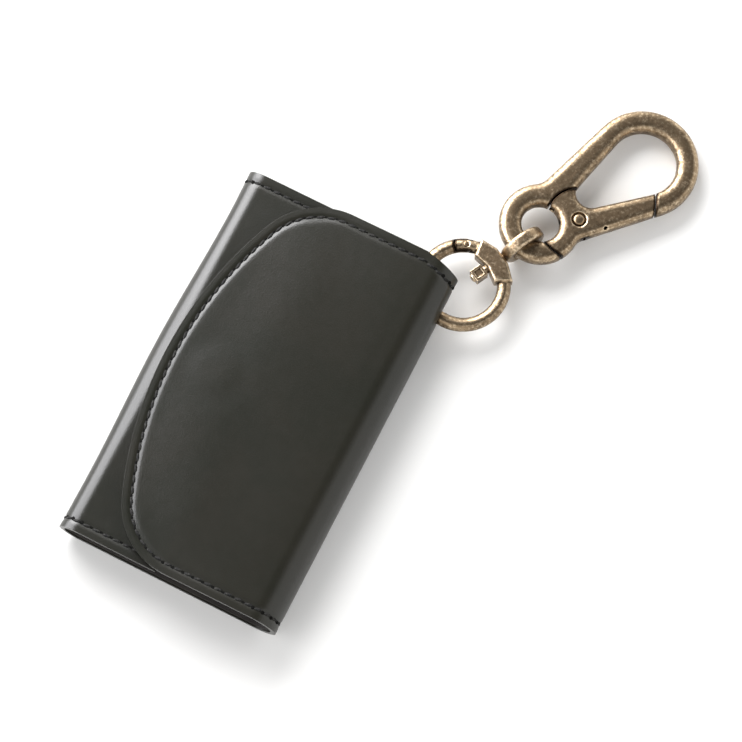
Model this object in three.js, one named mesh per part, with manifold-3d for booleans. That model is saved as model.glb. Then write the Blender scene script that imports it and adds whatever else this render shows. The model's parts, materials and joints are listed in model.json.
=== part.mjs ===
// Leather key organiser: a folding key case with a gate ring, a swivel eye and a double-gate snap hook.
// Millimetres, +Z up. The case lies on its back face: the origin is the centre of that face, +X points to
// the fold of the flap, +Y along the case towards the ring, and +Z out of the flap.
import * as THREE from "three";
import { mergeVertices } from "three/addons/utils/BufferGeometryUtils.js";
import Module from "manifold-3d";

const wasm = await Module();
wasm.setup();

const DEG = Math.PI / 180;
const TAU = 2 * Math.PI;

// ---------------------------------------------------------------- driving dimensions: the leather case
const CASE_L = 105; // along Y
const CASE_W = 62; // over both folds
const LEATHER = 1.4;
const LINING = 0.7;
const SHEET = LEATHER + LINING;
const FLAP_TOP = 14.1; // height of the flap's outer face
const FRONT_TOP = 10.4; // height of the front panel's outer face
const HINGE_GAP = 1.25; // clearance on each side of a fold line
const FRONT_EDGE_X = -3; // free edge of the front panel
const FLAP_APEX_X = -27; // furthest reach of the flap's curved edge
const FLAP_CURVE_R = 104; // radius of the long curve of that edge
const FLAP_CORNER_R = 20; // radius where the curve turns into the end edges
const NOTCH_Y = 37.6; // the fold beside the ring is cut away above this
const NOTCH_X = 17.6; // and the back panel outside this
const CORNER_CUT = { x: 21, drop: 2.2 }; // the flap's end slants down towards the notched fold
const ARC_STEPS = 7; // facets in a quarter of a fold

// ---------------------------------------------------------------- driving dimensions: the fittings
const SNAP_X = -13.5; // press stud, on the centre line of the case
const PLATE = { x0: -25.5, x1: 17, y0: 36.5, y1: 47, z0: 2.15, thick: 0.8 };
const HOOK_COUNT = 4;
const HOOK_PITCH = 11;
const HOOK_FIRST_X = -20.5;
const HOOK_PIVOT_Y = 40;
const RIVET_XS = [-15, 7];
const RIVET_Y = 44;

const RING_AT = [32.2, 50.6, 5.9]; // centre of the gate ring
const CHAIN_DEG = 62; // direction from the ring to the swivel eye
const RING_R = 10.6; // centre line of the ring's wire
const WIRE_R = 1.85;
const RING_STEPS = 56; // facets round the whole ring
const PIN_DEG = 50; // gate hinge of the ring, from the boss
const TIP_DEG = 122; // tip of the ring's gate, from the boss
const LOOP_DEG = 222; // direction from the ring's centre to the leather loop round its wire
const LOOP_IN = 2.5;
const LOOP_OUT = 3.4;
const LOOP_W = 5;
const TAB = { near: 5.9, rivet: 8.6, far: 11.4, thick: 1.8 }; // the loop's sewn end, from the wire
const EYE_AT = 18.9; // centre of the swivel eye from the ring's centre
const EYE_OUT = 5.9;
const EYE_HOLE = 3.85;
const EYE_WIDE = 3;

const SMALL_IN = 5; // small loop of the snap hook
const SMALL_OUT = 10.7;
const BIG_AT = [32.1, 0.5]; // centre of the snap hook's large loop, in the hook's frame
const BIG_OUT = 14.4;
const BIG_IN = 8.8;
const HOOK_T = 5.2; // thickness of the snap hook
const HOOK_DEG = 57.8; // direction of the snap hook's long axis
const EYE_TO_HOOK = 7.2; // from the swivel eye to the small loop's centre
const EYE_TO_HOOK_DEG = 77;
const HOOK_LIFT = 5.55; // height of the small loop's mid plane
const HOOK_TILT = 3.7; // the large loop rests on the table, so the hook leans down to it
const HOOK_PIN = [8.9, -4.4];

// ---------------------------------------------------------------- helpers
// A closed geometry as a manifold-3d solid.
function solid(geometry) {
  const plain = geometry.index ? geometry.toNonIndexed() : geometry.clone();
  plain.deleteAttribute("normal");
  plain.deleteAttribute("uv");
  const merged = mergeVertices(plain, 1e-4);
  return new wasm.Manifold(
    new wasm.Mesh({
      numProp: 3,
      vertProperties: merged.attributes.position.array,
      triVerts: new Uint32Array(merged.index.array),
    }),
  );
}

// A manifold-3d solid as a geometry.
function geometryOf(shape) {
  const mesh = shape.getMesh();
  const positions = new Float32Array(mesh.numVert * 3);
  for (let i = 0; i < mesh.numVert; i++) {
    for (let k = 0; k < 3; k++) positions[3 * i + k] = mesh.vertProperties[mesh.numProp * i + k];
  }
  const geometry = new THREE.BufferGeometry();
  geometry.setAttribute("position", new THREE.BufferAttribute(positions, 3));
  geometry.setIndex(new THREE.BufferAttribute(mesh.triVerts, 1));
  geometry.computeVertexNormals();
  return geometry;
}

// The first solid with each of the others joined to it.
const join = (first, ...others) => others.reduce((sum, next) => sum.add(next), first);

// The first solid with each of the others cut out of it.
const cut = (first, ...others) => others.reduce((rest, next) => rest.subtract(next), first);

function box(x0, x1, y0, y1, z0, z1) {
  const g = new THREE.BoxGeometry(x1 - x0, y1 - y0, z1 - z0);
  return solid(g.translate((x0 + x1) / 2, (y0 + y1) / 2, (z0 + z1) / 2));
}

// A cylinder with its axis along Z.
function discAt(x, y, z0, z1, radius, sides = 28) {
  const g = new THREE.CylinderGeometry(radius, radius, z1 - z0, sides);
  return solid(g.rotateX(Math.PI / 2).translate(x, y, (z0 + z1) / 2));
}

// An outline in XY, extruded from z0 to z1, with its upper and lower edges rounded by round.
function plate(outline, z0, z1, { round = 0, rounding = 2, steps = 10 } = {}) {
  const geometry = new THREE.ExtrudeGeometry(outline, {
    depth: z1 - z0 - 2 * round,
    curveSegments: steps,
    bevelEnabled: round > 0,
    bevelThickness: round,
    bevelSize: round,
    bevelOffset: -round,
    bevelSegments: rounding,
  });
  return solid(geometry.translate(0, 0, z0 + round));
}

// A profile drawn in X (across the case) and Z (up), extruded along Y from y0 to y1.
function alongCase(profile, y0, y1, steps = ARC_STEPS) {
  const geometry = new THREE.ExtrudeGeometry(profile, {
    depth: y1 - y0,
    curveSegments: steps,
    bevelEnabled: false,
  });
  return solid(geometry.rotateX(Math.PI / 2).translate(0, y1, 0));
}

function polygon(points) {
  return new THREE.Shape(points.map(([x, y]) => new THREE.Vector2(x, y)));
}

function circle(x, y, radius) {
  return new THREE.Shape().absarc(x, y, radius, 0, TAU);
}

// A wedge of a circle between two directions in degrees.
function wedge(x, y, radius, from, to) {
  const shape = new THREE.Shape();
  shape.moveTo(x, y);
  shape.lineTo(x + radius * Math.cos(from * DEG), y + radius * Math.sin(from * DEG));
  shape.absarc(x, y, radius, from * DEG, to * DEG);
  return shape;
}

const polar = (radius, degrees) => [radius * Math.cos(degrees * DEG), radius * Math.sin(degrees * DEG)];

// A round wire bent to an arc about Z, from one angle to another.
function wireArc(radius, wire, from, to, steps, sides = 16) {
  const section = [];
  for (let i = 0; i <= sides; i++) {
    const a = (TAU * i) / sides;
    section.push(new THREE.Vector2(radius + wire * Math.cos(a), wire * Math.sin(a)));
  }
  const whole = solid(new THREE.LatheGeometry(section, steps).rotateX(Math.PI / 2));
  const reach = radius + 3 * wire;
  return whole.intersect(plate(wedge(0, 0, reach, from, to), -2 * wire, 2 * wire, { steps: 12 }));
}

// A helical spring with its axis along Z.
function coil(radius, wire, pitch, turns) {
  class Helix extends THREE.Curve {
    getPoint(t, target = new THREE.Vector3()) {
      const a = TAU * turns * t;
      return target.set(radius * Math.cos(a), radius * Math.sin(a), pitch * turns * t);
    }
  }
  return new THREE.ExtrudeGeometry(circle(0, 0, wire), {
    steps: turns * 8,
    curveSegments: 3,
    extrudePath: new Helix(),
  });
}

// ---------------------------------------------------------------- materials
const finish = (color, roughness, metalness) =>
  new THREE.MeshStandardMaterial({ color, roughness, metalness });
const outerLeather = finish(0x26241f, 0.42, 0);
const liningLeather = finish(0x2c2621, 0.7, 0);
const antiqueBrass = finish(0x8a754f, 0.38, 1);
const nickel = finish(0xb9b6ae, 0.3, 1);
const springSteel = finish(0x9a9a98, 0.35, 1);

const root = new THREE.Group();

function add(parent, name, shape, material) {
  const geometry = shape.isBufferGeometry ? shape : geometryOf(shape);
  const mesh = new THREE.Mesh(geometry, material);
  mesh.name = name;
  parent.add(mesh);
  return mesh;
}

// ---------------------------------------------------------------- the case: folds and panels
const HALF_L = CASE_L / 2;
const HALF_W = CASE_W / 2;
const RIGHT = { side: 1, r: FLAP_TOP / 2, x: HALF_W - FLAP_TOP / 2 };
const LEFT = { side: -1, r: FRONT_TOP / 2, x: -HALF_W + FRONT_TOP / 2 };
const FOLD_DEG = 45; // the two fold lines of a side lie at this angle below and above its middle

// Half the angle that the gap at a fold line takes on the outer face.
const gapAngle = (fold) => Math.asin(HINGE_GAP / fold.r) / DEG;

// A layer of a fold between two angles: 0 points outwards, -90 down and 90 up.
function foldLayer(fold, outer, inner, from, to, y0, y1) {
  const turn = (a) => (fold.side > 0 ? a * DEG : Math.PI - a * DEG);
  const clockwise = fold.side < 0;
  const shape = new THREE.Shape();
  shape.absarc(fold.x, fold.r, outer, turn(from), turn(to), clockwise);
  shape.absarc(fold.x, fold.r, inner, turn(to), turn(from), !clockwise);
  return alongCase(shape, y0, y1);
}

// The outer and inner radius of the leather and of the lining at a fold.
const leatherAt = (fold) => [fold.r, fold.r - LEATHER];
const liningAt = (fold) => [fold.r - LEATHER, fold.r - SHEET];

const notchCut = () => box(NOTCH_X, HALF_W + 1, NOTCH_Y, HALF_L + 1, -1, RIGHT.r);

// Back panel: the flat middle with the first part of each fold, made for the leather and for the lining.
function backLayer(layerAt, z0, z1, inset) {
  const y0 = -HALF_L + inset;
  const y1 = HALF_L - inset;
  const flat = box(LEFT.x, RIGHT.x, y0, y1, z0, z1);
  const right = foldLayer(RIGHT, ...layerAt(RIGHT), -90, -FOLD_DEG - gapAngle(RIGHT), y0, y1);
  const left = foldLayer(LEFT, ...layerAt(LEFT), -90, -FOLD_DEG - gapAngle(LEFT), y0, y1);
  return cut(join(flat, right, left), notchCut());
}

const LINING_INSET = 0.5;
const POCKET_R = 2.5;
const POCKET_Z = 0.85;
const rivetSpots = RIVET_XS.map((x) => [x, RIVET_Y]);

// Pockets in the leather hide the flat ends of the rivets, and holes in the lining pass their shafts.
const rivetPockets = rivetSpots.map(([x, y]) => discAt(x, y, POCKET_Z, LEATHER + 0.1, POCKET_R));
const rivetHoles = rivetSpots.map(([x, y]) => discAt(x, y, LEATHER - 0.1, SHEET + 0.1, 1.15));
add(root, "back_leather", cut(backLayer(leatherAt, 0, LEATHER, 0), ...rivetPockets), outerLeather);
add(root, "back_lining", cut(backLayer(liningAt, LEATHER, SHEET, LINING_INSET), ...rivetHoles), liningLeather);

// Folds: the part of each side between its two fold lines.
function spine(name, fold, y1) {
  const reach = FOLD_DEG - gapAngle(fold);
  const leather = foldLayer(fold, ...leatherAt(fold), -reach, reach, -HALF_L, y1);
  const lining = foldLayer(fold, ...liningAt(fold), -reach, reach, -HALF_L + LINING_INSET, y1 - LINING_INSET);
  add(root, name + "_leather", leather, outerLeather);
  add(root, name + "_lining", lining, liningLeather);
}
spine("right_fold", RIGHT, NOTCH_Y);
spine("left_fold", LEFT, HALF_L);

// The flap's outline: its long edge is a wide arc that turns into the end edges over a smaller one.
function flapOutline(inset) {
  const apex = FLAP_APEX_X + inset;
  const half = HALF_L - inset;
  const corner = FLAP_CORNER_R - inset;
  const long = FLAP_CURVE_R - inset;
  const cornerY = half - corner;
  const turnDeg = Math.asin(cornerY / (long - corner)) / DEG;
  const cornerX = apex + long - (long - corner) * Math.cos(turnDeg * DEG);
  const shape = new THREE.Shape();
  shape.moveTo(HALF_W, -half);
  shape.lineTo(HALF_W, half - CORNER_CUT.drop);
  shape.lineTo(CORNER_CUT.x, half);
  shape.absarc(cornerX, cornerY, corner, 90 * DEG, (180 - turnDeg) * DEG);
  shape.absarc(apex + long, 0, long, (180 - turnDeg) * DEG, (180 + turnDeg) * DEG);
  shape.absarc(cornerX, -cornerY, corner, (180 + turnDeg) * DEG, 270 * DEG);
  return shape;
}

// A layer of the flap: its flat part with the last part of the right fold, trimmed to the outline. Beside
// the notch the flap keeps the whole upper half of the fold, down to its cut edge.
const CUT_EDGE_DEG = 12;
function flapLayer(layerAt, z0, z1, inset) {
  const flat = box(FLAP_APEX_X, RIGHT.x, -HALF_L, HALF_L, z0, z1);
  const tab = foldLayer(RIGHT, ...layerAt(RIGHT), CUT_EDGE_DEG, 90, NOTCH_Y + 0.3, HALF_L);
  const fold = foldLayer(RIGHT, ...layerAt(RIGHT), FOLD_DEG + gapAngle(RIGHT), 90, -HALF_L, NOTCH_Y + 0.5);
  return join(flat, tab, fold).intersect(plate(flapOutline(inset), -1, FLAP_TOP + 1, { steps: 12 }));
}

// The strap loop's rivet goes up into the flap: a pocket in its leather and a hole in its lining.
const FLAP_UNDER = FLAP_TOP - SHEET;
const FLAP_SEAM = FLAP_TOP - LEATHER;
const alongChain = (distance) => {
  const [dx, dy] = polar(distance, CHAIN_DEG);
  return [RING_AT[0] + dx, RING_AT[1] + dy];
};
const [rivetDx, rivetDy] = polar(RING_R + TAB.rivet, LOOP_DEG);
const loopRivetAt = [RING_AT[0] + rivetDx, RING_AT[1] + rivetDy];
const CAP_R = 5.6;
const flapLeather = cut(
  flapLayer(leatherAt, FLAP_SEAM, FLAP_TOP, 0),
  discAt(SNAP_X, 0, FLAP_SEAM - 0.1, FLAP_SEAM + 0.55, CAP_R + 0.2),
  discAt(...loopRivetAt, FLAP_SEAM - 0.1, FLAP_SEAM + 0.55, POCKET_R),
);
const flapLining = cut(
  flapLayer(liningAt, FLAP_UNDER, FLAP_SEAM, LINING_INSET),
  discAt(SNAP_X, 0, FLAP_UNDER - 0.1, FLAP_SEAM + 0.1, 3.1),
  discAt(...loopRivetAt, FLAP_UNDER - 0.1, FLAP_SEAM + 0.1, 1.15),
);
add(root, "flap_leather", flapLeather, outerLeather);
add(root, "flap_lining", flapLining, liningLeather);

// A layer of the front panel: from the left fold's last part to its free edge.
function frontLayer(layerAt, z0, z1, inset) {
  const y1 = HALF_L - inset;
  const flat = box(LEFT.x, FRONT_EDGE_X - inset, -y1, y1, z0, z1);
  const fold = foldLayer(LEFT, ...layerAt(LEFT), FOLD_DEG + gapAngle(LEFT), 90, -y1, y1);
  return cut(join(flat, fold), discAt(SNAP_X, 0, z0 - 1, z1 + 1, 1.2));
}
add(root, "front_leather", frontLayer(leatherAt, FRONT_TOP - LEATHER, FRONT_TOP, 0), outerLeather);
add(
  root,
  "front_lining",
  frontLayer(liningAt, FRONT_TOP - SHEET, FRONT_TOP - LEATHER, LINING_INSET),
  liningLeather,
);

// ---------------------------------------------------------------- the press stud
const snapCap = join(
  discAt(SNAP_X, 0, FLAP_SEAM, FLAP_SEAM + 0.45, CAP_R),
  discAt(SNAP_X, 0, FLAP_UNDER - 0.9, FLAP_SEAM + 0.2, 2.95),
);
const snapBore = discAt(SNAP_X, 0, 0, FLAP_SEAM, 2.45);
add(root, "snap_cap", cut(snapCap, snapBore), nickel);
const socketHole = discAt(SNAP_X, 0, 0, FLAP_TOP, 3.05);
add(root, "snap_socket", cut(discAt(SNAP_X, 0, FLAP_UNDER - 1.05, FLAP_UNDER, 5.2), socketHole), nickel);
const studBore = discAt(SNAP_X, 0, 0, FRONT_TOP + 1.6, 1.05);
const stud = join(
  discAt(SNAP_X, 0, FRONT_TOP, FRONT_TOP + 0.4, 4.5),
  discAt(SNAP_X, 0, FRONT_TOP, FRONT_TOP + 1.9, 2),
);
add(root, "snap_stud", cut(stud, studBore), nickel);
const post = join(
  discAt(SNAP_X, 0, FRONT_TOP - SHEET - 0.45, FRONT_TOP - SHEET, 4.5),
  discAt(SNAP_X, 0, FRONT_TOP - SHEET - 0.2, FRONT_TOP + 1.4, 0.95),
);
add(root, "snap_post", post, nickel);

// ---------------------------------------------------------------- key plate, key hooks and their latches
const PLATE_TOP = PLATE.z0 + PLATE.thick;
const HOOK_Z0 = PLATE_TOP + 0.1;
const HOOK_Z1 = HOOK_Z0 + 1.2;

function roundedBar(x0, x1, y0, y1, radius) {
  const shape = new THREE.Shape();
  shape.absarc(x1 - radius, y1 - radius, radius, 0, 90 * DEG);
  shape.absarc(x0 + radius, y1 - radius, radius, 90 * DEG, 180 * DEG);
  shape.absarc(x0 + radius, y0 + radius, radius, 180 * DEG, 270 * DEG);
  shape.absarc(x1 - radius, y0 + radius, radius, 270 * DEG, 360 * DEG);
  return shape;
}

const hookXs = Array.from({ length: HOOK_COUNT }, (_, i) => HOOK_FIRST_X + HOOK_PITCH * i);
const plateHoles = [
  ...RIVET_XS.map((x) => discAt(x, RIVET_Y, 0, 9, 1.15)),
  ...hookXs.map((x) => discAt(x, HOOK_PIVOT_Y, 0, 9, 0.95)),
];
const plateOutline = roundedBar(PLATE.x0, PLATE.x1, PLATE.y0, PLATE.y1, 2.5);
const keyPlate = plate(plateOutline, PLATE.z0, PLATE_TOP, { steps: 5 });
add(root, "key_plate", cut(keyPlate, ...plateHoles), antiqueBrass);

// A rivet with its flat end in the leather's pocket and its head above z.
function rivet(x, y, z) {
  return join(
    discAt(x, y, POCKET_Z + 0.05, LEATHER - 0.02, 2.3, 20),
    discAt(x, y, POCKET_Z + 0.1, z + 0.3, 1.0, 20),
    discAt(x, y, z + 0.05, z + 0.7, 2.1, 20),
  );
}
RIVET_XS.forEach((x, i) => add(root, `plate_rivet_${i + 1}`, rivet(x, RIVET_Y, PLATE_TOP), antiqueBrass));

const KEY_HOOK = { eye: 2.9, neckHalf: 1.5, half: 3.3, wall: 1.4, top: -9.9, bottom: -19.7, gap: [-11, -17.6] };

// A key hook about its pivot at the origin: an eye, a neck and a long loop that is open on one side.
function keyHook() {
  const { eye, neckHalf, half, wall, top, bottom, gap } = KEY_HOOK;
  const loop = new THREE.Shape();
  loop.absarc(0, top, half, 0, Math.PI);
  loop.absarc(0, bottom, half, Math.PI, TAU);
  const hollow = new THREE.Shape();
  hollow.absarc(0, top, half - wall, 0, Math.PI);
  hollow.absarc(0, bottom, half - wall, Math.PI, TAU);
  const low = HOOK_Z0 - 1;
  const high = HOOK_Z1 + 1;
  return cut(
    join(
      plate(loop, HOOK_Z0, HOOK_Z1, { steps: 8 }),
      discAt(0, 0, HOOK_Z0, HOOK_Z1, eye, 24),
      box(-neckHalf, neckHalf, top, 0, HOOK_Z0, HOOK_Z1),
    ),
    plate(hollow, low, high, { steps: 8 }),
    discAt(0, 0, low, high, 1.0, 20),
    box(0.3, half + 1, gap[1], gap[0], low, high),
  );
}

// The spring leaf that closes a key hook, standing inside its open side.
function keyLatch() {
  const x = KEY_HOOK.half - KEY_HOOK.wall - 0.15;
  return box(x - 0.4, x, KEY_HOOK.bottom + 0.9, KEY_HOOK.top + 0.2, HOOK_Z0 + 0.1, HOOK_Z1 - 0.1);
}

hookXs.forEach((x, i) => {
  const group = new THREE.Group();
  group.position.set(x, HOOK_PIVOT_Y, 0);
  root.add(group);
  add(group, `key_hook_${i + 1}`, keyHook(), nickel);
  add(group, `key_latch_${i + 1}`, keyLatch(), springSteel);
  const pivot = join(
    discAt(0, 0, PLATE.z0 + 0.02, HOOK_Z1 + 0.2, 0.88, 20),
    discAt(0, 0, HOOK_Z1 + 0.1, HOOK_Z1 + 0.65, 1.7, 20),
  );
  add(group, `hook_pivot_${i + 1}`, pivot, antiqueBrass);
});

// ---------------------------------------------------------------- gate ring, in its own frame: +X to the boss
const ring = new THREE.Group();
ring.position.set(...RING_AT);
ring.rotation.z = CHAIN_DEG * DEG;
root.add(ring);

// A slab of the ring's frame that holds everything within a distance of the gate's pin.
const ringPin = polar(RING_R, PIN_DEG);
const tip = polar(RING_R, TIP_DEG);
const TIP_REACH = Math.hypot(tip[0] - ringPin[0], tip[1] - ringPin[1]);
const SHOULDER = 3.2; // distance of the gate's shoulder from its pin
const TANG_HALF = 0.7;
const PIN_R = 0.75;
const nearPin = (reach, half = 5) => discAt(...ringPin, -half, half, reach, 40);

// The boss: a block of flat facets that thickens the ring round the swivel's shank.
const BOSS = { in: 8, out: 12.8, half: 2.5, deg: 33, facets: 3 };
function bossOutline() {
  const corners = [];
  for (let i = 0; i <= BOSS.facets; i++) {
    corners.push(polar(BOSS.out, BOSS.deg * ((2 * i) / BOSS.facets - 1)));
  }
  return polygon([...corners, polar(BOSS.in, BOSS.deg), polar(BOSS.in - 0.4, 0), polar(BOSS.in, -BOSS.deg)]);
}

// The ring's body: an open wire with the boss, ending in a fork on one side and a stop on the other.
const SHANK_R = 1;
const shankBore = solid(
  new THREE.CylinderGeometry(SHANK_R + 0.15, SHANK_R + 0.15, 20, 20).rotateZ(Math.PI / 2).translate(12, 0, 0),
);
const stopArc = cut(wireArc(RING_R, WIRE_R, TIP_DEG - 8, 357, RING_STEPS), nearPin(TIP_REACH + 0.15));
const forkArc = join(
  wireArc(RING_R, WIRE_R, -4, PIN_DEG, RING_STEPS),
  wireArc(RING_R, WIRE_R, PIN_DEG - 1, PIN_DEG + 30, RING_STEPS).intersect(nearPin(SHOULDER - 0.2)),
);
const ringBody = cut(
  join(stopArc, forkArc, plate(bossOutline(), -BOSS.half, BOSS.half, { round: 0.5, rounding: 1 })),
  shankBore,
  nearPin(SHOULDER + 0.2, TANG_HALF + 0.2),
  nearPin(PIN_R + 0.02),
);
add(ring, "ring_body", ringBody, antiqueBrass);

// The ring's gate: the rest of the wire, with a tang that turns in the fork.
const gateWire = wireArc(RING_R, WIRE_R, PIN_DEG - 1, TIP_DEG + 12, RING_STEPS);
const tang = join(gateWire.intersect(nearPin(SHOULDER + 0.8)), nearPin(WIRE_R - 0.1)).intersect(
  nearPin(SHOULDER + 1, TANG_HALF),
);
const ringGate = cut(
  join(cut(gateWire.intersect(nearPin(TIP_REACH - 0.15)), nearPin(SHOULDER + 0.1)), tang),
  nearPin(PIN_R + 0.1),
);
add(ring, "ring_gate", ringGate, antiqueBrass);
add(ring, "ring_gate_pin", discAt(...ringPin, -WIRE_R - 0.05, WIRE_R + 0.05, PIN_R, 20), antiqueBrass);

// Swivel: an eye that stands upright on a shank, held inside the ring by a square head.
const shank = solid(
  new THREE.CylinderGeometry(SHANK_R, SHANK_R, 11, 20).rotateZ(Math.PI / 2).translate(8.4, 0, 0),
);
const eyeRing = new THREE.Shape().absarc(0, 0, EYE_OUT, 0, TAU);
eyeRing.holes.push(new THREE.Path().absarc(0, 0, EYE_HOLE, 0, TAU, true));
const upright = plate(eyeRing, -EYE_WIDE / 2, EYE_WIDE / 2, { round: 0.6, steps: 14 });
const swivelEye = join(upright.rotate([90, 0, 0]).translate([EYE_AT, 0, 0]), shank);
add(ring, "swivel_eye", swivelEye, antiqueBrass);
const headBore = solid(
  new THREE.CylinderGeometry(SHANK_R + 0.03, SHANK_R + 0.03, 20, 20).rotateZ(Math.PI / 2),
);
add(ring, "swivel_head", cut(box(3.3, 6.7, -1.7, 1.7, -1.7, 1.7), headBore), antiqueBrass);

// ---------------------------------------------------------------- the strap loop that holds the ring
// Profiles seen along the strap's width: x towards the ring's centre and z up.
const loop = new THREE.Group();
loop.position.set(...RING_AT);
loop.rotation.z = (LOOP_DEG - 180) * DEG;
root.add(loop);

function strap(outline) {
  const flat = plate(outline, -LOOP_W / 2, LOOP_W / 2, { steps: 12 });
  return flat.rotate([90, 0, 0]);
}
const TAB_TOP = FLAP_UNDER - RING_AT[2] - 0.05;
const TAB_BOTTOM = TAB_TOP - TAB.thick;
const wireX = -RING_R;
const slope = polygon([
  [wireX - 1.2, 2],
  [wireX - TAB.near + 0.3, TAB_BOTTOM],
  [wireX - TAB.near + 0.3, TAB_TOP - 0.2],
  [wireX - 3.6, TAB_TOP - 1.4],
  [wireX + 1, 3.1],
]);
const loopBore = strap(circle(wireX, 0, LOOP_IN));
add(loop, "ring_loop", cut(join(strap(circle(wireX, 0, LOOP_OUT)), strap(slope)), loopBore), outerLeather);
const tabOutline = polygon([
  [wireX - TAB.far, TAB_BOTTOM],
  [wireX - TAB.near, TAB_BOTTOM],
  [wireX - TAB.near, TAB_TOP],
  [wireX - TAB.far, TAB_TOP],
]);
const tabBore = discAt(wireX - TAB.rivet, 0, 0, 20, 1.15);
add(loop, "loop_tab", cut(strap(tabOutline), tabBore), outerLeather);
const loopRivet = join(
  discAt(...loopRivetAt, FLAP_SEAM + 0.02, FLAP_SEAM + 0.5, 2.3, 20),
  discAt(...loopRivetAt, FLAP_UNDER - TAB.thick - 0.3, FLAP_SEAM + 0.4, 1, 20),
  discAt(...loopRivetAt, FLAP_UNDER - TAB.thick - 0.75, FLAP_UNDER - TAB.thick - 0.1, 2.1, 20),
);
add(root, "loop_rivet", loopRivet, antiqueBrass);

// ---------------------------------------------------------------- snap hook, in its own frame
// +X runs from the small loop to the large one, and the gate is on the -Y side.
const [eyeX, eyeY] = alongChain(EYE_AT);
const [hookX, hookY] = polar(EYE_TO_HOOK, EYE_TO_HOOK_DEG);
const hookHeading = new THREE.Group();
hookHeading.position.set(eyeX + hookX, eyeY + hookY, HOOK_LIFT);
hookHeading.rotation.z = HOOK_DEG * DEG;
root.add(hookHeading);
const hook = new THREE.Group();
hook.rotation.y = HOOK_TILT * DEG;
hookHeading.add(hook);

const HALF_T = HOOK_T / 2;
const EDGE = 1.8; // rounding of the hook's edges
const SPINE_SLOPE = 13.9; // direction of the arm's straight outer edge
const WAIST_R = 5; // hollow where that edge meets the small loop
const GATE_SLOPE = -11.5; // direction of the gate's outer edge
const DIP_R = 3; // hollow between the small loop and the gate

// The hook's outline: both loops, the hollow spine side, and the straight gate side with its dip.
function hookOutline() {
  const [bx, by] = BIG_AT;
  // The arm's outer edge touches the large loop, and the hollow touches that edge and the small loop.
  const up = (SPINE_SLOPE + 90) * DEG;
  const away = Math.cos(up) * bx + Math.sin(up) * by + BIG_OUT + WAIST_R;
  const back = Math.sqrt((SMALL_OUT + WAIST_R) ** 2 - away ** 2);
  const [wx, wy] = [away * Math.cos(up) + back * Math.sin(up), away * Math.sin(up) - back * Math.cos(up)];
  const lean = Math.atan2(wy, wx);
  // The gate's outer edge touches the large loop, and the dip touches that edge and the small loop.
  const down = (GATE_SLOPE - 90) * DEG;
  const normal = [Math.cos(down), Math.sin(down)];
  const edge = normal[0] * bx + normal[1] * by + BIG_OUT;
  const off = edge + DIP_R;
  const run = Math.sqrt((SMALL_OUT + DIP_R) ** 2 - off ** 2);
  const [dx, dy] = [off * normal[0] - run * normal[1], off * normal[1] + run * normal[0]];
  const shape = new THREE.Shape();
  shape.absarc(bx, by, BIG_OUT, down, up);
  shape.absarc(wx, wy, WAIST_R, up - Math.PI, lean - Math.PI, true);
  shape.absarc(0, 0, SMALL_OUT, lean, TAU + Math.atan2(dy, dx));
  shape.absarc(dx, dy, DIP_R, Math.atan2(dy, dx) + Math.PI, down + Math.PI, true);
  return shape;
}

// The large opening: the hull of a small circle at the crotch and the large loop's inner circle.
const CROTCH = { x: 15.6, y: 0.2, r: 3.8 };
function bigOpening() {
  const [bx, by] = BIG_AT;
  const gap = Math.hypot(bx - CROTCH.x, by - CROTCH.y);
  const heading = Math.atan2(by - CROTCH.y, bx - CROTCH.x);
  const spread = Math.acos((CROTCH.r - BIG_IN) / gap);
  const path = new THREE.Path();
  path.absarc(bx, by, BIG_IN, heading - spread, heading + spread);
  path.absarc(CROTCH.x, CROTCH.y, CROTCH.r, heading + spread, heading - spread + TAU);
  return path;
}

const outline = hookOutline();
outline.holes.push(bigOpening(), new THREE.Path().absarc(0, 0, SMALL_IN, 0, TAU));
const hookBlank = plate(outline, -HALF_T, HALF_T, { round: EDGE, rounding: 3, steps: 12 });

// The gate is a rocker on a pin: it closes the large loop with its bar and the small loop with its heel.
const HUB_R = 8.3;
const HEEL_R = 10.7;
const NOSE = { inner: [31.45, -6.17], outer: [26.15, -13.83] }; // slanted cut between the bar and the nose
function rockerRegion(play) {
  const nose = polygon([
    [HOOK_PIN[0], -2],
    [NOSE.inner[0] + play, NOSE.inner[1]],
    [NOSE.outer[0] + play, NOSE.outer[1]],
    [HOOK_PIN[0], -16],
  ]);
  const heel = discAt(...HOOK_PIN, -4, 4, HEEL_R + play, 48).intersect(box(-3, 12, -20, -3, -4, 4));
  return join(discAt(...HOOK_PIN, -4, 4, HUB_R + play, 48), heel, plate(nose, -4, 4));
}

const CHEEK_GAP = 1.15; // half the width of the slot in the rocker
const HOOK_PIN_R = 1.5;
const hookHole = (radius, half = 4) => discAt(...HOOK_PIN, -half, half, radius, 28);
const hookTang = join(
  hookHole(4.4, 0.85),
  box(HOOK_PIN[0] - 2.6, HOOK_PIN[0] + 2, HOOK_PIN[1], 5.5, -0.85, 0.85),
);
add(hook, "hook_body", cut(join(cut(hookBlank, rockerRegion(0.4)), hookTang), hookHole(1.52)), antiqueBrass);

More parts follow.
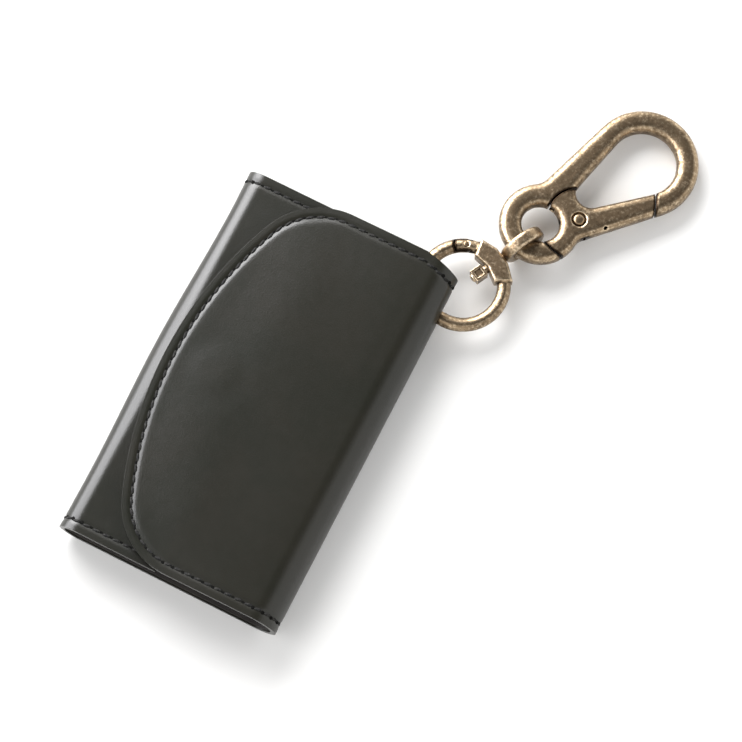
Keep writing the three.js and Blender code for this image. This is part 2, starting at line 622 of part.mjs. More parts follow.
const slotWedge = plate(wedge(...HOOK_PIN, 9, 35, 125), -CHEEK_GAP, CHEEK_GAP, { steps: 8 });
const springBore = solid(
  new THREE.CylinderGeometry(1, 1, 9, 16).rotateZ(Math.PI / 2).translate(HOOK_PIN[0] + 8, -7.6, 0),
);
const rocker = cut(
  hookBlank.intersect(rockerRegion(0)),
  hookHole(4.9, CHEEK_GAP),
  slotWedge,
  springBore,
  hookHole(HOOK_PIN_R + 0.1),
);
add(hook, "hook_gate", rocker, antiqueBrass);
add(hook, "hook_gate_pin", hookHole(HOOK_PIN_R, HALF_T + 0.1), antiqueBrass);
const gateSpring = coil(0.6, 0.17, 0.85, 5);
gateSpring.rotateY(Math.PI / 2).translate(HOOK_PIN[0] + 5.5, -7.6, 0);
add(hook, "hook_gate_spring", gateSpring, springSteel);

export default root;
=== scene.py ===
"""Leather key organiser: the folding case, its gate ring and its snap hook, dressed for rendering.

Lengths in the classes are millimetres in the case's frame: X across the case, Y along it, Z up.
"""

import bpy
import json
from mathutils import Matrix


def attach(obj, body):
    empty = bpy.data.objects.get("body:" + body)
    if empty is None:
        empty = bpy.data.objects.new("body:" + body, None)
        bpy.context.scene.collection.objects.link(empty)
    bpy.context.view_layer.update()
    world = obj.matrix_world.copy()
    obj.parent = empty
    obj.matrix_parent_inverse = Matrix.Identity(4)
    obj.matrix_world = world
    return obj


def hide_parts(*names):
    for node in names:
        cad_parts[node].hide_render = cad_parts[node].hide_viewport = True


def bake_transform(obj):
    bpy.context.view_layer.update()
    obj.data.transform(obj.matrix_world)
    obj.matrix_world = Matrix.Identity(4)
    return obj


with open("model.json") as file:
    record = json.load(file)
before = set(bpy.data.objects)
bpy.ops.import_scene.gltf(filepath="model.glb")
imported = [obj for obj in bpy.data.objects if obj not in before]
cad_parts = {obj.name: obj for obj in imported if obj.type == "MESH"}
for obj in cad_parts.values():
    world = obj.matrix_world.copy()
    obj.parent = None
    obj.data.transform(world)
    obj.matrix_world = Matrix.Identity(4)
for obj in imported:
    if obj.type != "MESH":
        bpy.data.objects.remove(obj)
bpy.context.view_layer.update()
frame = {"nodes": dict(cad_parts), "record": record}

import json
import logging
import math
from dataclasses import dataclass, field
from enum import Enum
from typing import Callable, Iterable, Sequence

import bpy
import numpy as np
from mathutils import Matrix, Vector
from mathutils.bvhtree import BVHTree

MM = 0.001
DEG = math.pi / 180
log = logging.getLogger("key_organiser")

Colour = tuple[float, float, float]
Point = tuple[float, float, float]
Span = tuple[float, float]


# ---------------------------------------------------------------- node helpers
class NodeBoard:
    """A node tree with short calls that add and join nodes."""

    def __init__(self, tree: bpy.types.NodeTree) -> None:
        """Keep the tree."""
        self.tree = tree

    def add(self, kind: str, **values: object) -> bpy.types.Node:
        """Add a node and set its properties, or its inputs by name.

        Args:
            kind: The node's type, such as ShaderNodeTexNoise.
            **values: Node properties, or a dict named inputs that maps socket names to values.

        Returns:
            The new node.
        """
        node = self.tree.nodes.new(kind)
        for name, value in values.items():
            if name == "inputs":
                for socket, number in value.items():
                    node.inputs[socket].default_value = number
            else:
                setattr(node, name, value)
        return node

    def link(self, source: bpy.types.NodeSocket, target: bpy.types.NodeSocket) -> None:
        """Join an output to an input."""
        self.tree.links.new(source, target)

    def math(self, operation: str, first: object, second: object) -> bpy.types.NodeSocket:
        """Add a math node.

        Args:
            operation: The operation's name.
            first: A socket or a number.
            second: A socket or a number.

        Returns:
            The node's output.
        """
        node = self.add("ShaderNodeMath", operation=operation)
        for index, value in enumerate((first, second)):
            if isinstance(value, bpy.types.NodeSocket):
                self.link(value, node.inputs[index])
            else:
                node.inputs[index].default_value = value
        return node.outputs[0]

    def mix(self, factor: bpy.types.NodeSocket, low: object, high: object) -> bpy.types.NodeSocket:
        """Mix two colours by a mask.

        Args:
            factor: The mask.
            low: The colour, or socket, where the mask is 0.
            high: The colour, or socket, where the mask is 1.

        Returns:
            The mixed colour.
        """
        node = self.add("ShaderNodeMix", data_type="RGBA")
        self.link(factor, node.inputs["Factor"])
        for name, value in (("A", low), ("B", high)):
            socket = [s for s in node.inputs if s.name == name and s.type == "RGBA"][0]
            if isinstance(value, bpy.types.NodeSocket):
                self.link(value, socket)
            else:
                socket.default_value = (*value, 1.0)
        return [s for s in node.outputs if s.type == "RGBA"][0]

    def span(self, value: bpy.types.NodeSocket, low: float, high: float) -> bpy.types.NodeSocket:
        """Spread a 0 to 1 value over a range."""
        node = self.add("ShaderNodeMapRange", inputs={"To Min": low, "To Max": high})
        self.link(value, node.inputs["Value"])
        return node.outputs["Result"]


def new_group(
    name: str, inputs: dict[str, float | None], outputs: Sequence[str]
) -> tuple[NodeBoard, dict, dict]:
    """Start a shader node group.

    Args:
        name: The group's name.
        inputs: Input names with their default numbers, or None for a vector.
        outputs: The names of its number outputs.

    Returns:
        The board, the inner input sockets by name, and the inner output sockets by name.
    """
    tree = bpy.data.node_groups.new(name, "ShaderNodeTree")
    for label, number in inputs.items():
        kind = "NodeSocketVector" if number is None else "NodeSocketFloat"
        socket = tree.interface.new_socket(name=label, in_out="INPUT", socket_type=kind)
        if number is not None:
            socket.default_value = number
    for label in outputs:
        tree.interface.new_socket(name=label, in_out="OUTPUT", socket_type="NodeSocketFloat")
    board = NodeBoard(tree)
    entry = board.add("NodeGroupInput")
    end = board.add("NodeGroupOutput")
    return board, {s.name: s for s in entry.outputs}, {s.name: s for s in end.inputs}


def grain_group() -> bpy.types.NodeTree:
    """Make the group for a fine pebbled surface.

    Returns:
        A group with the inputs Vector, Scale and Softness, and the outputs Height and Speck.
    """
    board, given, out = new_group(
        "fine grain", {"Vector": None, "Scale": 2600.0, "Softness": 0.4}, ["Height", "Speck"]
    )
    cells = board.add("ShaderNodeTexVoronoi", feature="SMOOTH_F1")
    board.link(given["Vector"], cells.inputs["Vector"])
    board.link(given["Scale"], cells.inputs["Scale"])
    board.link(given["Softness"], cells.inputs["Smoothness"])
    fine = board.add("ShaderNodeTexNoise", inputs={"Detail": 4.0, "Roughness": 0.65})
    board.link(given["Vector"], fine.inputs["Vector"])
    board.link(board.math("MULTIPLY", given["Scale"], 0.45), fine.inputs["Scale"])
    pebble = board.math("MULTIPLY", cells.outputs["Distance"], 0.6)
    board.link(board.math("ADD", pebble, board.math("MULTIPLY", fine.outputs["Fac"], 0.6)), out["Height"])
    bright = board.add("ShaderNodeMapRange", inputs={"From Min": 0.56, "From Max": 0.72})
    board.link(fine.outputs["Fac"], bright.inputs["Value"])
    board.link(bright.outputs["Result"], out["Speck"])
    return board.tree


def mottle_group() -> bpy.types.NodeTree:
    """Make the group for soft, uneven patches.

    Returns:
        A group with the inputs Vector, Scale, Low and High, and the output Mask.
    """
    board, given, out = new_group(
        "soft patches", {"Vector": None, "Scale": 60.0, "Low": 0.35, "High": 0.65}, ["Mask"]
    )
    cloud = board.add("ShaderNodeTexNoise", inputs={"Detail": 5.0, "Roughness": 0.6, "Distortion": 0.4})
    board.link(given["Vector"], cloud.inputs["Vector"])
    board.link(given["Scale"], cloud.inputs["Scale"])
    reach = board.add("ShaderNodeMapRange", interpolation_type="SMOOTHSTEP")
    board.link(cloud.outputs["Fac"], reach.inputs["Value"])
    board.link(given["Low"], reach.inputs["From Min"])
    board.link(given["High"], reach.inputs["From Max"])
    board.link(reach.outputs["Result"], out["Mask"])
    return board.tree


def wear_and_shade_group() -> bpy.types.NodeTree:
    """Make the group for bright crests, partly wear and partly painted highlight, and dark hollows, patina
    deepened with painted shade, from a mesh's crest values.

    Returns:
        A group with the inputs Crest, Vector, Scale and Break, and the outputs Rubbed and Hollow.
    """
    board, given, out = new_group(
        "crest wear and painted light", {"Crest": 0.5, "Vector": None, "Scale": 900.0, "Break": 0.35}, ["RubbedAndHighlit", "HollowAndShade"]
    )
    speckle = board.add("ShaderNodeTexNoise", inputs={"Detail": 6.0, "Roughness": 0.7})
    board.link(given["Vector"], speckle.inputs["Vector"])
    board.link(given["Scale"], speckle.inputs["Scale"])
    uneven = board.math("MULTIPLY", board.math("SUBTRACT", speckle.outputs["Fac"], 0.5), given["Break"])
    height = board.math("ADD", given["Crest"], board.math("MULTIPLY", uneven, 2.0))
    # The first mask lightens crests, partly as wear and partly as a painted highlight; the second darkens
    # hollows and gaps, as patina with painted shade.
    for label, low, high in (("RubbedAndHighlit", 0.5, 0.85), ("HollowAndShade", 0.46, 0.2)):
        ease = board.add(
            "ShaderNodeMapRange", interpolation_type="SMOOTHSTEP", inputs={"From Min": low, "From Max": high}
        )
        board.link(height, ease.inputs["Value"])
        board.link(ease.outputs["Result"], out[label])
    return board.tree


class Effects:
    """The shared node groups, each made once."""

    made: dict[str, bpy.types.NodeTree] = {}
    makers: dict[str, Callable[[], bpy.types.NodeTree]] = {
        "grain": grain_group,
        "mottle": mottle_group,
        "wear_and_shade": wear_and_shade_group,
    }

    @classmethod
    def place(
        cls, board: NodeBoard, name: str, vector: bpy.types.NodeSocket, **values: object
    ) -> bpy.types.Node:
        """Put a shared effect into a material.

        Args:
            board: The material's board.
            name: grain, mottle or wear.
            vector: The coordinates it reads.
            **values: Numbers or sockets for its other inputs.

        Returns:
            The group node.
        """
        if name not in cls.made:
            cls.made[name] = cls.makers[name]()
        node = board.add("ShaderNodeGroup")
        node.node_tree = cls.made[name]
        board.link(vector, node.inputs["Vector"])
        for label, value in values.items():
            if isinstance(value, bpy.types.NodeSocket):
                board.link(value, node.inputs[label])
            else:
                node.inputs[label].default_value = value
        return node


def start_material(name: str) -> tuple[bpy.types.Material, NodeBoard, bpy.types.Node, bpy.types.NodeSocket]:
    """Start a material on object coordinates."""
    material = bpy.data.materials.new(name)
    material.use_nodes = True
    board = NodeBoard(material.node_tree)
    shader = material.node_tree.nodes["Principled BSDF"]
    place = board.add("ShaderNodeTexCoord")
    return material, board, shader, place.outputs["Object"]


def add_bump(board: NodeBoard, shader: bpy.types.Node, height: bpy.types.NodeSocket, depth: float) -> None:
    """Feed a height to the shader's normal."""
    bump = board.add("ShaderNodeBump", inputs={"Strength": 1.0, "Distance": depth * MM})
    board.link(height, bump.inputs["Height"])
    board.link(bump.outputs["Normal"], shader.inputs["Normal"])


# ---------------------------------------------------------------- finishes
@dataclass(frozen=True)
class LeatherFinish:
    """Smooth black leather: faint grain, uneven warm and green-grey patches, a satin shine."""

    name: str = "smooth black leather"
    cool: Colour = (0.0112, 0.0120, 0.0080)
    warm: Colour = (0.0162, 0.0152, 0.0108)
    rough: Span = (0.28, 0.295)
    grain_depth: float = 0.022
    shine: float = 0.4

    def build(self) -> bpy.types.Material:
        """Make the material.

        Returns:
            The new material.
        """
        material, board, shader, place = start_material(self.name)
        patches = Effects.place(board, "mottle", place, Scale=40.0, Low=0.25, High=0.75)
        small = Effects.place(board, "mottle", place, Scale=420.0, Low=0.35, High=0.7)
        grain = Effects.place(board, "grain", place, Scale=2400.0, Softness=0.5)
        tint = board.mix(patches.outputs["Mask"], self.cool, self.warm)
        fine = board.mix(board.math("MULTIPLY", small.outputs["Mask"], 0.1), tint, self.warm)
        board.link(fine, shader.inputs["Base Color"])
        board.link(board.span(small.outputs["Mask"], *self.rough), shader.inputs["Roughness"])
        shader.inputs["Specular IOR Level"].default_value = self.shine
        add_bump(board, shader, grain.outputs["Height"], self.grain_depth)
        return material


@dataclass(frozen=True)
class PlainFinish:
    """An uneven surface in two colours, whose roughness and relief follow its patches or its nap."""

    name: str
    dark: Colour
    pale: Colour
    scale: float
    reach: Span = (0.3, 0.7)
    rough: Span = (0.9, 0.9)
    relief: float = 0.0
    nap: float = 0.0
    shine: float = 0.5
    sheen: float = 0.0

    def build(self) -> bpy.types.Material:
        """Make the material.

        Returns:
            The new material.
        """
        material, board, shader, place = start_material(self.name)
        low, high = self.reach
        patches = Effects.place(board, "mottle", place, Scale=self.scale, Low=low, High=high).outputs["Mask"]
        board.link(board.mix(patches, self.dark, self.pale), shader.inputs["Base Color"])
        speck = height = patches
        if self.nap:
            fibres = Effects.place(board, "grain", place, Scale=self.nap, Softness=0.2)
            speck, height = fibres.outputs["Speck"], fibres.outputs["Height"]
        shader.inputs["Roughness"].default_value = self.rough[0]
        if self.rough[0] != self.rough[1]:
            board.link(board.span(speck, *self.rough), shader.inputs["Roughness"])
        shader.inputs["Specular IOR Level"].default_value = self.shine
        shader.inputs["Sheen Weight"].default_value = self.sheen
        if self.relief:
            add_bump(board, shader, height, self.relief)
        return material


@dataclass(frozen=True)
class PlatedFinish:
    """Plated metal, finely brushed, with painted light: its hollows and gaps painted dark, patina with painted
    shade, and its crests painted bright, partly wear and partly a painted highlight.
    """

    name: str = "antique brass plate"
    body: Colour = (0.255, 0.185, 0.114)
    # Colour of the crests: partly worn plate, partly a painted highlight.
    bright: Colour = (0.58, 0.468, 0.325)
    # Colour of the patina stains and of the painted shade in hollows and gaps.
    dark: Colour = (0.028, 0.018, 0.011)
    rough: Span = (0.30, 0.48)
    patina: float = 0.6
    brush: float = 0.012
    # How far hollows and gaps are darkened: patina with painted shade.
    hollow_shade: float = 1.0

    def build(self) -> bpy.types.Material:
        """Make the material.

        Returns:
            The new material.
        """
        material, board, shader, place = start_material(self.name)
        crest = board.add("ShaderNodeAttribute", attribute_name="crest")
        wear_and_shade = Effects.place(board, "wear_and_shade", place, Crest=crest.outputs["Fac"], Scale=1300.0, Break=0.55)
        cloud = Effects.place(board, "mottle", place, Scale=330.0, Low=0.38, High=0.68)
        fine = Effects.place(board, "grain", place, Scale=5200.0, Softness=0.1)
        stained = board.mix(board.math("MULTIPLY", cloud.outputs["Mask"], self.patina), self.body, self.dark)
        # Crests are lightened, partly as wear and partly as a painted highlight.
        worn_and_highlit = board.mix(wear_and_shade.outputs["RubbedAndHighlit"], stained, self.bright)
        # Hollows and gaps beside the next part are darkened: patina with painted shade.
        hollow_shade = board.math("MULTIPLY", wear_and_shade.outputs["HollowAndShade"], self.hollow_shade)
        board.link(board.mix(hollow_shade, worn_and_highlit, self.dark), shader.inputs["Base Color"])
        shader.inputs["Metallic"].default_value = 1.0
        specks = board.math("MULTIPLY", fine.outputs["Speck"], 0.35)
        uneven = board.math("ADD", specks, board.math("MULTIPLY", cloud.outputs["Mask"], 0.65))
        board.link(board.span(uneven, *self.rough), shader.inputs["Roughness"])
        lines = board.add(
            "ShaderNodeMapping", inputs={"Scale": (1.0, 0.12, 1.0), "Rotation": (0.0, 0.0, 0.55)}
        )
        board.link(place, lines.inputs["Vector"])
        brushed = board.add("ShaderNodeTexNoise", inputs={"Scale": 2600.0, "Detail": 3.0, "Roughness": 0.6})
        board.link(lines.outputs["Vector"], brushed.inputs["Vector"])
        relief = board.math("ADD", brushed.outputs["Fac"], board.math("MULTIPLY", cloud.outputs["Mask"], 1.5))
        add_bump(board, shader, relief, self.brush)
        return material


class Finish(Enum):
    """The finishes of the case and its fittings."""

    LEATHER = LeatherFinish()
    # A pale edge: partly the burnished edge's own tone, partly a painted highlight along the rounded cut edge.
    CUT_EDGE_HIGHLIT = PlainFinish(
        "burnished cut edge",
        (0.080, 0.075, 0.065),
        (0.24, 0.225, 0.195),
        900.0,
        rough=(0.42, 0.6),
        relief=0.03,
    )
    LINING = PlainFinish(
        "matt lining leather",
        (0.017, 0.014, 0.012),
        (0.026, 0.022, 0.018),
        150.0,
        reach=(0.35, 0.65),
        rough=(0.72, 0.6),
        relief=0.06,
        nap=3200.0,
        shine=0.25,
        sheen=0.03,
    )
    THREAD = PlainFinish(
        "waxed black thread",
        (0.006, 0.006, 0.006),
        (0.030, 0.029, 0.025),
        2100.0,
        reach=(0.45, 0.62),
        rough=(0.8, 0.62),
        relief=0.06,
        shine=0.2,
    )
    # Near-black discs at the stitch ends: painted shade inside the stitch holes.
    NEEDLE_HOLE_SHADE = PlainFinish(
        "needle-hole shade", (0.0015, 0.0015, 0.0015), (0.005, 0.005, 0.004), 1500.0, rough=(0.95, 0.95), shine=0.1
    )
    BRASS = PlatedFinish()
    NICKEL = PlatedFinish(
        name="bright nickel plate",
        body=(0.60, 0.58, 0.54),
        bright=(0.80, 0.78, 0.74),
        dark=(0.20, 0.18, 0.16),
        rough=(0.16, 0.3),
        patina=0.2,
        brush=0.006,
        hollow_shade=0.6,
    )
    STEEL = PlatedFinish(
        name="plain spring steel",
        body=(0.42, 0.42, 0.43),
        bright=(0.62, 0.62, 0.63),
        dark=(0.16, 0.16, 0.17),
        rough=(0.24, 0.36),
        patina=0.25,
        brush=0.009,
        hollow_shade=0.5,
    )
    FLOOR = PlainFinish("white table", (0.90, 0.90, 0.90), (0.92, 0.92, 0.92), 9.0, shine=0.2)

    def material(self) -> bpy.types.Material:
        """Give the finish's material, made the first time it is asked for."""
        found = bpy.data.materials.get(self.value.name)
        return found or self.value.build()


# ---------------------------------------------------------------- working on objects
def select_only(*pieces: bpy.types.Object) -> None:
    """Select these objects and no others, and make the first one active."""
    bpy.ops.object.select_all(action="DESELECT")
    for piece in pieces:
        piece.select_set(True)
    bpy.context.view_layer.objects.active = pieces[0]


def apply_modifier(piece: bpy.types.Object, kind: str, **settings: object) -> None:
    """Add a modifier and apply it."""
    select_only(piece)
    modifier = piece.modifiers.new(kind.lower(), kind)
    for name, value in settings.items():
        setattr(modifier, name, value)
    bpy.ops.object.modifier_apply(modifier=modifier.name)


def smooth(piece: bpy.types.Object, degrees: float = 35.0) -> None:
    """Shade an object smooth, with edges sharper than an angle kept."""
    select_only(piece)
    bpy.ops.object.shade_smooth_by_angle(angle=degrees * DEG)


def settle(piece: bpy.types.Object) -> None:
    """Move an object's place, turn and scale into its mesh."""
    select_only(piece)
    bpy.ops.object.transform_apply(location=True, rotation=True, scale=True)


def dress(piece: bpy.types.Object, *finishes: Finish) -> None:
    """Give an object its materials, in order of slot."""
    piece.data.materials.clear()
    for finish in finishes:
        piece.data.materials.append(finish.material())


def mesh_object(name: str, vertices: np.ndarray, faces: Sequence[Sequence[int]]) -> bpy.types.Object:
    """Make an object from points and faces."""
    mesh = bpy.data.meshes.new(name)
    mesh.from_pydata([tuple(v) for v in np.asarray(vertices) * MM], [], [tuple(f) for f in faces])
    mesh.update()
    piece = bpy.data.objects.new(name, mesh)
    bpy.context.scene.collection.objects.link(piece)
    return piece


def face_outwards(piece: bpy.types.Object) -> None:
    """Turn all faces of a closed mesh outwards."""
    select_only(piece)
    bpy.ops.object.mode_set(mode="EDIT")
    bpy.ops.mesh.select_all(action="SELECT")
    bpy.ops.mesh.normals_make_consistent(inside=False)
    bpy.ops.object.mode_set(mode="OBJECT")


def smoothstep(low: float, high: float, value: np.ndarray) -> np.ndarray:
    """Ease from 0 at low to 1 at high."""
    t = np.clip((value - low) / (high - low), 0.0, 1.0)
    return t * t * (3 - 2 * t)


def nearness(piece: bpy.types.Object, node: str, reach: float = 1.0) -> np.ndarray:
    """Say how near each point of a piece is to a CAD node."""
    source = frame["nodes"][node]
    points = [source.matrix_world @ v.co for v in source.data.vertices]
    tree = BVHTree.FromPolygons(points, [tuple(p.vertices) for p in source.data.polygons])
    found = [tree.find_nearest(v.co, reach * MM)[3] for v in piece.data.vertices]
    away = np.array([reach if gap is None else gap / MM for gap in found])
    return 1.0 - smoothstep(0.45, reach, away)


def write_crest(piece: bpy.types.Object, near: np.ndarray, passes: int = 3) -> None:
    """Store how far each point stands out from its neighbours as the attribute crest, 0 to 1.

    Args:
        piece: A mesh of nearly even faces.
        near: How near each point is to the next part; there the value is lowered, so that the gap is painted
            dark as shade.
        passes: How often the values are averaged with their neighbours.
    """
    mesh = piece.data
    count = len(mesh.vertices)
    points = np.empty(count * 3)
    mesh.vertices.foreach_get("co", points)
    points = points.reshape(-1, 3)
    normals = np.empty(count * 3)
    mesh.vertices.foreach_get("normal", normals)
    normals = normals.reshape(-1, 3)
    ends = np.empty(len(mesh.edges) * 2, dtype=np.int64)
    mesh.edges.foreach_get("vertices", ends)
    first, second = ends.reshape(-1, 2).T
    degree = np.bincount(first, minlength=count) + np.bincount(second, minlength=count)
    degree = np.maximum(degree, 1)

    def around(values: np.ndarray) -> np.ndarray:
        total = np.zeros_like(values)
        np.add.at(total, first, values[second])
        np.add.at(total, second, values[first])
        return total / (degree[:, None] if values.ndim == 2 else degree)

    length = np.linalg.norm(points[first] - points[second], axis=1).mean()
    rise = ((points - around(points)) * normals).sum(axis=1) / length
    for _ in range(passes):
        rise = 0.5 * rise + 0.5 * around(rise)
    # Near the next part the value falls, which the plated finish paints as shade in the gap.
    values = (np.clip(0.5 + rise * 4.0, 0.0, 1.0) * (1.0 - near)).astype(np.float32)
    attribute = mesh.attributes.get("crest") or mesh.attributes.new("crest", "FLOAT", "POINT")
    attribute.data.foreach_set("value", values)


# ---------------------------------------------------------------- the case
class Side(Enum):
    """The two folds of the case, each as the sign of its X."""

    RIGHT = 1
    LEFT = -1


@dataclass(frozen=True)
class Bend:
    """A cross-section: flat, then a quarter turn about the fold's centre, measured along the outer face."""

    side: Side
    upper: bool
    centre_x: float
    radius: float

    @property
    def end(self) -> float:
        """Give the distance along the outer face at which the quarter turn ends."""
        return self.centre_x + self.side.value * self.radius * math.pi / 2

    def turn(self, s: np.ndarray) -> np.ndarray:
        """Give the angle turned at s, in radians, 0 on the flat."""
        return np.maximum(self.side.value * (s - self.centre_x), 0.0) / self.radius

    def point(self, s: np.ndarray, depth: np.ndarray) -> tuple[np.ndarray, np.ndarray]:
        """Give X and Z at a depth below the outer face."""
        turn = self.turn(s)
        reach = self.radius - depth
        on_flat = self.side.value * (s - self.centre_x) < 0
        x = np.where(on_flat, s, self.centre_x + self.side.value * reach * np.sin(turn))
        z = self.radius + (1 if self.upper else -1) * reach * np.cos(turn)
        return x, z

    def normal(self, s: np.ndarray) -> tuple[np.ndarray, np.ndarray]:
        """Give the X and Z of the outward normal at s."""
        turn = self.turn(s)
        return self.side.value * np.sin(turn), (1 if self.upper else -1) * np.cos(turn)


@dataclass(frozen=True)
class CaseSizes:
    """Sizes that all parts of the case share."""

    half: float = 52.5
    leather: float = 1.4
    lining: float = 0.7
    lining_inset: float = 0.5
    notch_x: float = 17.6
    notch_y: float = 37.6
    stitch_inset: float = 2.6
    groove_depth: float = 0.26
    groove_half: float = 0.65
    edge_round: float = 0.38
    right_x: float = 23.95
    right_r: float = 7.05
    left_x: float = -25.8
    left_r: float = 5.2
    front_edge: float = -3.0
    bow: float = 0.45
    bow_wave: float = 78.0


SIZES = CaseSizes()
END_STEPS = (0.0, 0.03, 0.12, 0.26, 0.45, 0.7, 1.0, 1.35, 1.7, 2.05, 2.4, 2.75, 3.1, 3.5, 4.0, 4.8, 6.0, 7.5)


def rows_along(half: float, extra: Sequence[float] = ()) -> np.ndarray:
    """Give the rows along the case, close together near its ends.

    Args:
        half: Half the length they cover.
        extra: Places that must have a row.

    Returns:
        The rows' Y, rising.
    """
    near = [half - step for step in END_STEPS]
    middle = np.linspace(-near[-1], near[-1], 74)[1:-1]
    rows = np.concatenate([-np.array(near), middle, np.array(near)])
    for place in extra:
        rows = rows[np.abs(rows - place) > 0.35]
        rows = np.append(rows, place)
    return np.unique(np.round(rows, 4))


@dataclass
class Panel:
    """One panel of the case with its quarter of a fold, as leather, lining and stitching.

    A place on it is (s, y): s runs across the case on the outer face, and y along it.
    """

    name: str
    bend: Bend
    bodies: tuple[str, str]
    leather_nodes: tuple[str, ...]
    lining_nodes: tuple[str, ...]
    open_start: bool = True

    def start(self, y: np.ndarray, inset: float) -> np.ndarray:
        """Give s at the panel's free edge, or at its middle seam, for each row."""
        raise NotImplementedError

    def top(self, x: np.ndarray, inset: float) -> np.ndarray:
        """Give the Y of the panel's far end at X."""
        return np.full_like(x, SIZES.half - inset)

    def keep(self, s: float, y: float) -> bool:
        """Say whether the panel has leather at (s, y)."""
        return True

    def edge_distance(self, x: np.ndarray, y: np.ndarray) -> np.ndarray:
        """Give the distance from (x, y) to the nearest sewn edge."""
        return SIZES.half - np.abs(y)

    def relief(self, x: np.ndarray, y: np.ndarray) -> np.ndarray:
        """Give how far the outer face stands proud of its plain form."""
        wave = 0.05 * np.sin(x / 6.1 + 0.7) * np.sin(y / 10.3 + 0.4) + 0.02 * np.sin(x / 4.3 + y / 9.1)
        gap = self.edge_distance(x, y)
        return wave * smoothstep(3.5, 9.0, gap) - self.groove(gap)

    def groove(self, gap: np.ndarray) -> np.ndarray:
        """Give the depth of the stitch groove at a distance from the edge."""
        return SIZES.groove_depth * np.exp(-(((gap - SIZES.stitch_inset) / SIZES.groove_half) ** 2))

    def shift(self, s: np.ndarray, x: np.ndarray, y: np.ndarray) -> tuple[np.ndarray, np.ndarray]:
        """Give how far both faces move in X and Z from the plain form."""
        return np.zeros_like(x), np.zeros_like(x)

    def steps(self) -> tuple[float, ...]:
        """Give the columns next to the start, as distances from it."""
        return END_STEPS[2:] if self.open_start else (0.0,)

    def special_columns(self) -> tuple[float, ...]:
        """Give places along s that must have a column."""
        return ()

    def special_rows(self) -> tuple[float, ...]:
        """Give places along y that must have a row."""
        return ()

    def surface(self, s: np.ndarray, y: np.ndarray, depth: float, formed: bool) -> np.ndarray:
        """Give points of the panel."""
        x, z = self.bend.point(s, np.full_like(s, depth))
        outer_x, _ = self.bend.point(s, np.zeros_like(s))
        normal_x, normal_z = self.bend.normal(s)
        rise = self.relief(outer_x, y) if formed else np.zeros_like(x)
        move_x, move_z = self.shift(s, outer_x, y)
        return np.stack([x + normal_x * rise + move_x, y, z + normal_z * rise + move_z], axis=-1)

    def grid(self, inset: float) -> tuple[np.ndarray, np.ndarray]:
        """Lay out the panel's grid.

        Args:
            inset: How far its edges are drawn in.

        Returns:
            s and y of the grid's points, rows by columns.
        """
        rows = rows_along(SIZES.half - inset, self.special_rows())
        side = self.bend.side.value
        lines = []
        for y in rows:
            first = float(self.start(np.array([y]), inset)[0])
            near = [first + side * step for step in self.steps()]
            flat = list(np.linspace(near[-1], self.bend.centre_x, 34)[1:])
            arc = list(np.linspace(self.bend.centre_x, self.bend.end, 21)[1:])
            line = np.array(near + flat + arc)
            for place in self.special_columns():
                line[np.argmin(np.abs(line - place))] = place
            lines.append(line)
        s = np.array(lines)
        x, _ = self.bend.point(s, np.zeros_like(s))
        y = np.repeat(rows[:, None], s.shape[1], axis=1)
        limit = SIZES.notch_y
        share = (self.top(x, inset) - limit) / (SIZES.half - inset - limit)
        return s, np.where(y > limit, limit + (y - limit) * share, y)

    def layer(self, name: str, inset: float, depths: Span, formed: bool) -> bpy.types.Object:
        """Build one layer of the panel as a closed sheet.

        Args:
            name: The object's name.
            inset: How far its edges are drawn in.
            depths: Depth of its outer and inner face.
            formed: Whether its outer face has the relief.

        Returns:
            The object, with rounded cut edges.
        """
        s, y = self.grid(inset)
        outer = self.surface(s, y, depths[0], formed)
        inner = self.surface(s, y, depths[1], False)
        middle_s = (s[:-1, :-1] + s[1:, 1:]) / 2
        middle_y = (y[:-1, :-1] + y[1:, 1:]) / 2
        kept = np.array([[self.keep(a, b) for a, b in zip(p, q)] for p, q in zip(middle_s, middle_y)])
        last = s.shape[1] - 1
        plain = {last} if self.open_start else {0, last}
        return closed_sheet(name, outer, inner, kept, plain, SIZES.edge_round if formed else 0.15)

    def blend(self, piece: bpy.types.Object) -> None:
        """Move a piece's place into its mesh; it is not bent with the fold's bodies."""
        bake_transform(piece)

    def seams(self) -> list[np.ndarray]:
        """Give the stitch lines, each as points (s, y)."""
        raise NotImplementedError

    def build(self) -> None:
        """Build the leather, the lining and the stitching."""
        leather = self.layer(f"{self.name}_outer", 0.0, (0.0, SIZES.leather), True)
        dress(leather, Finish.LEATHER, Finish.CUT_EDGE_HIGHLIT)
        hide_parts(*self.leather_nodes)
        self.blend(leather)
        sheet = SIZES.leather + SIZES.lining
        lining = self.layer(f"{self.name}_inner", SIZES.lining_inset, (SIZES.leather, sheet), False)
        dress(lining, Finish.LINING, Finish.CUT_EDGE_HIGHLIT)
        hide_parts(*self.lining_nodes)
        self.blend(lining)
        for face, depth in (("outer", 0.0), ("inner", sheet)):
            thread = Stitching(self, face == "outer", depth).build(f"{self.name}_{face}_stitching")
            self.blend(thread)
        log.info("%s: leather, lining and stitching", self.name)


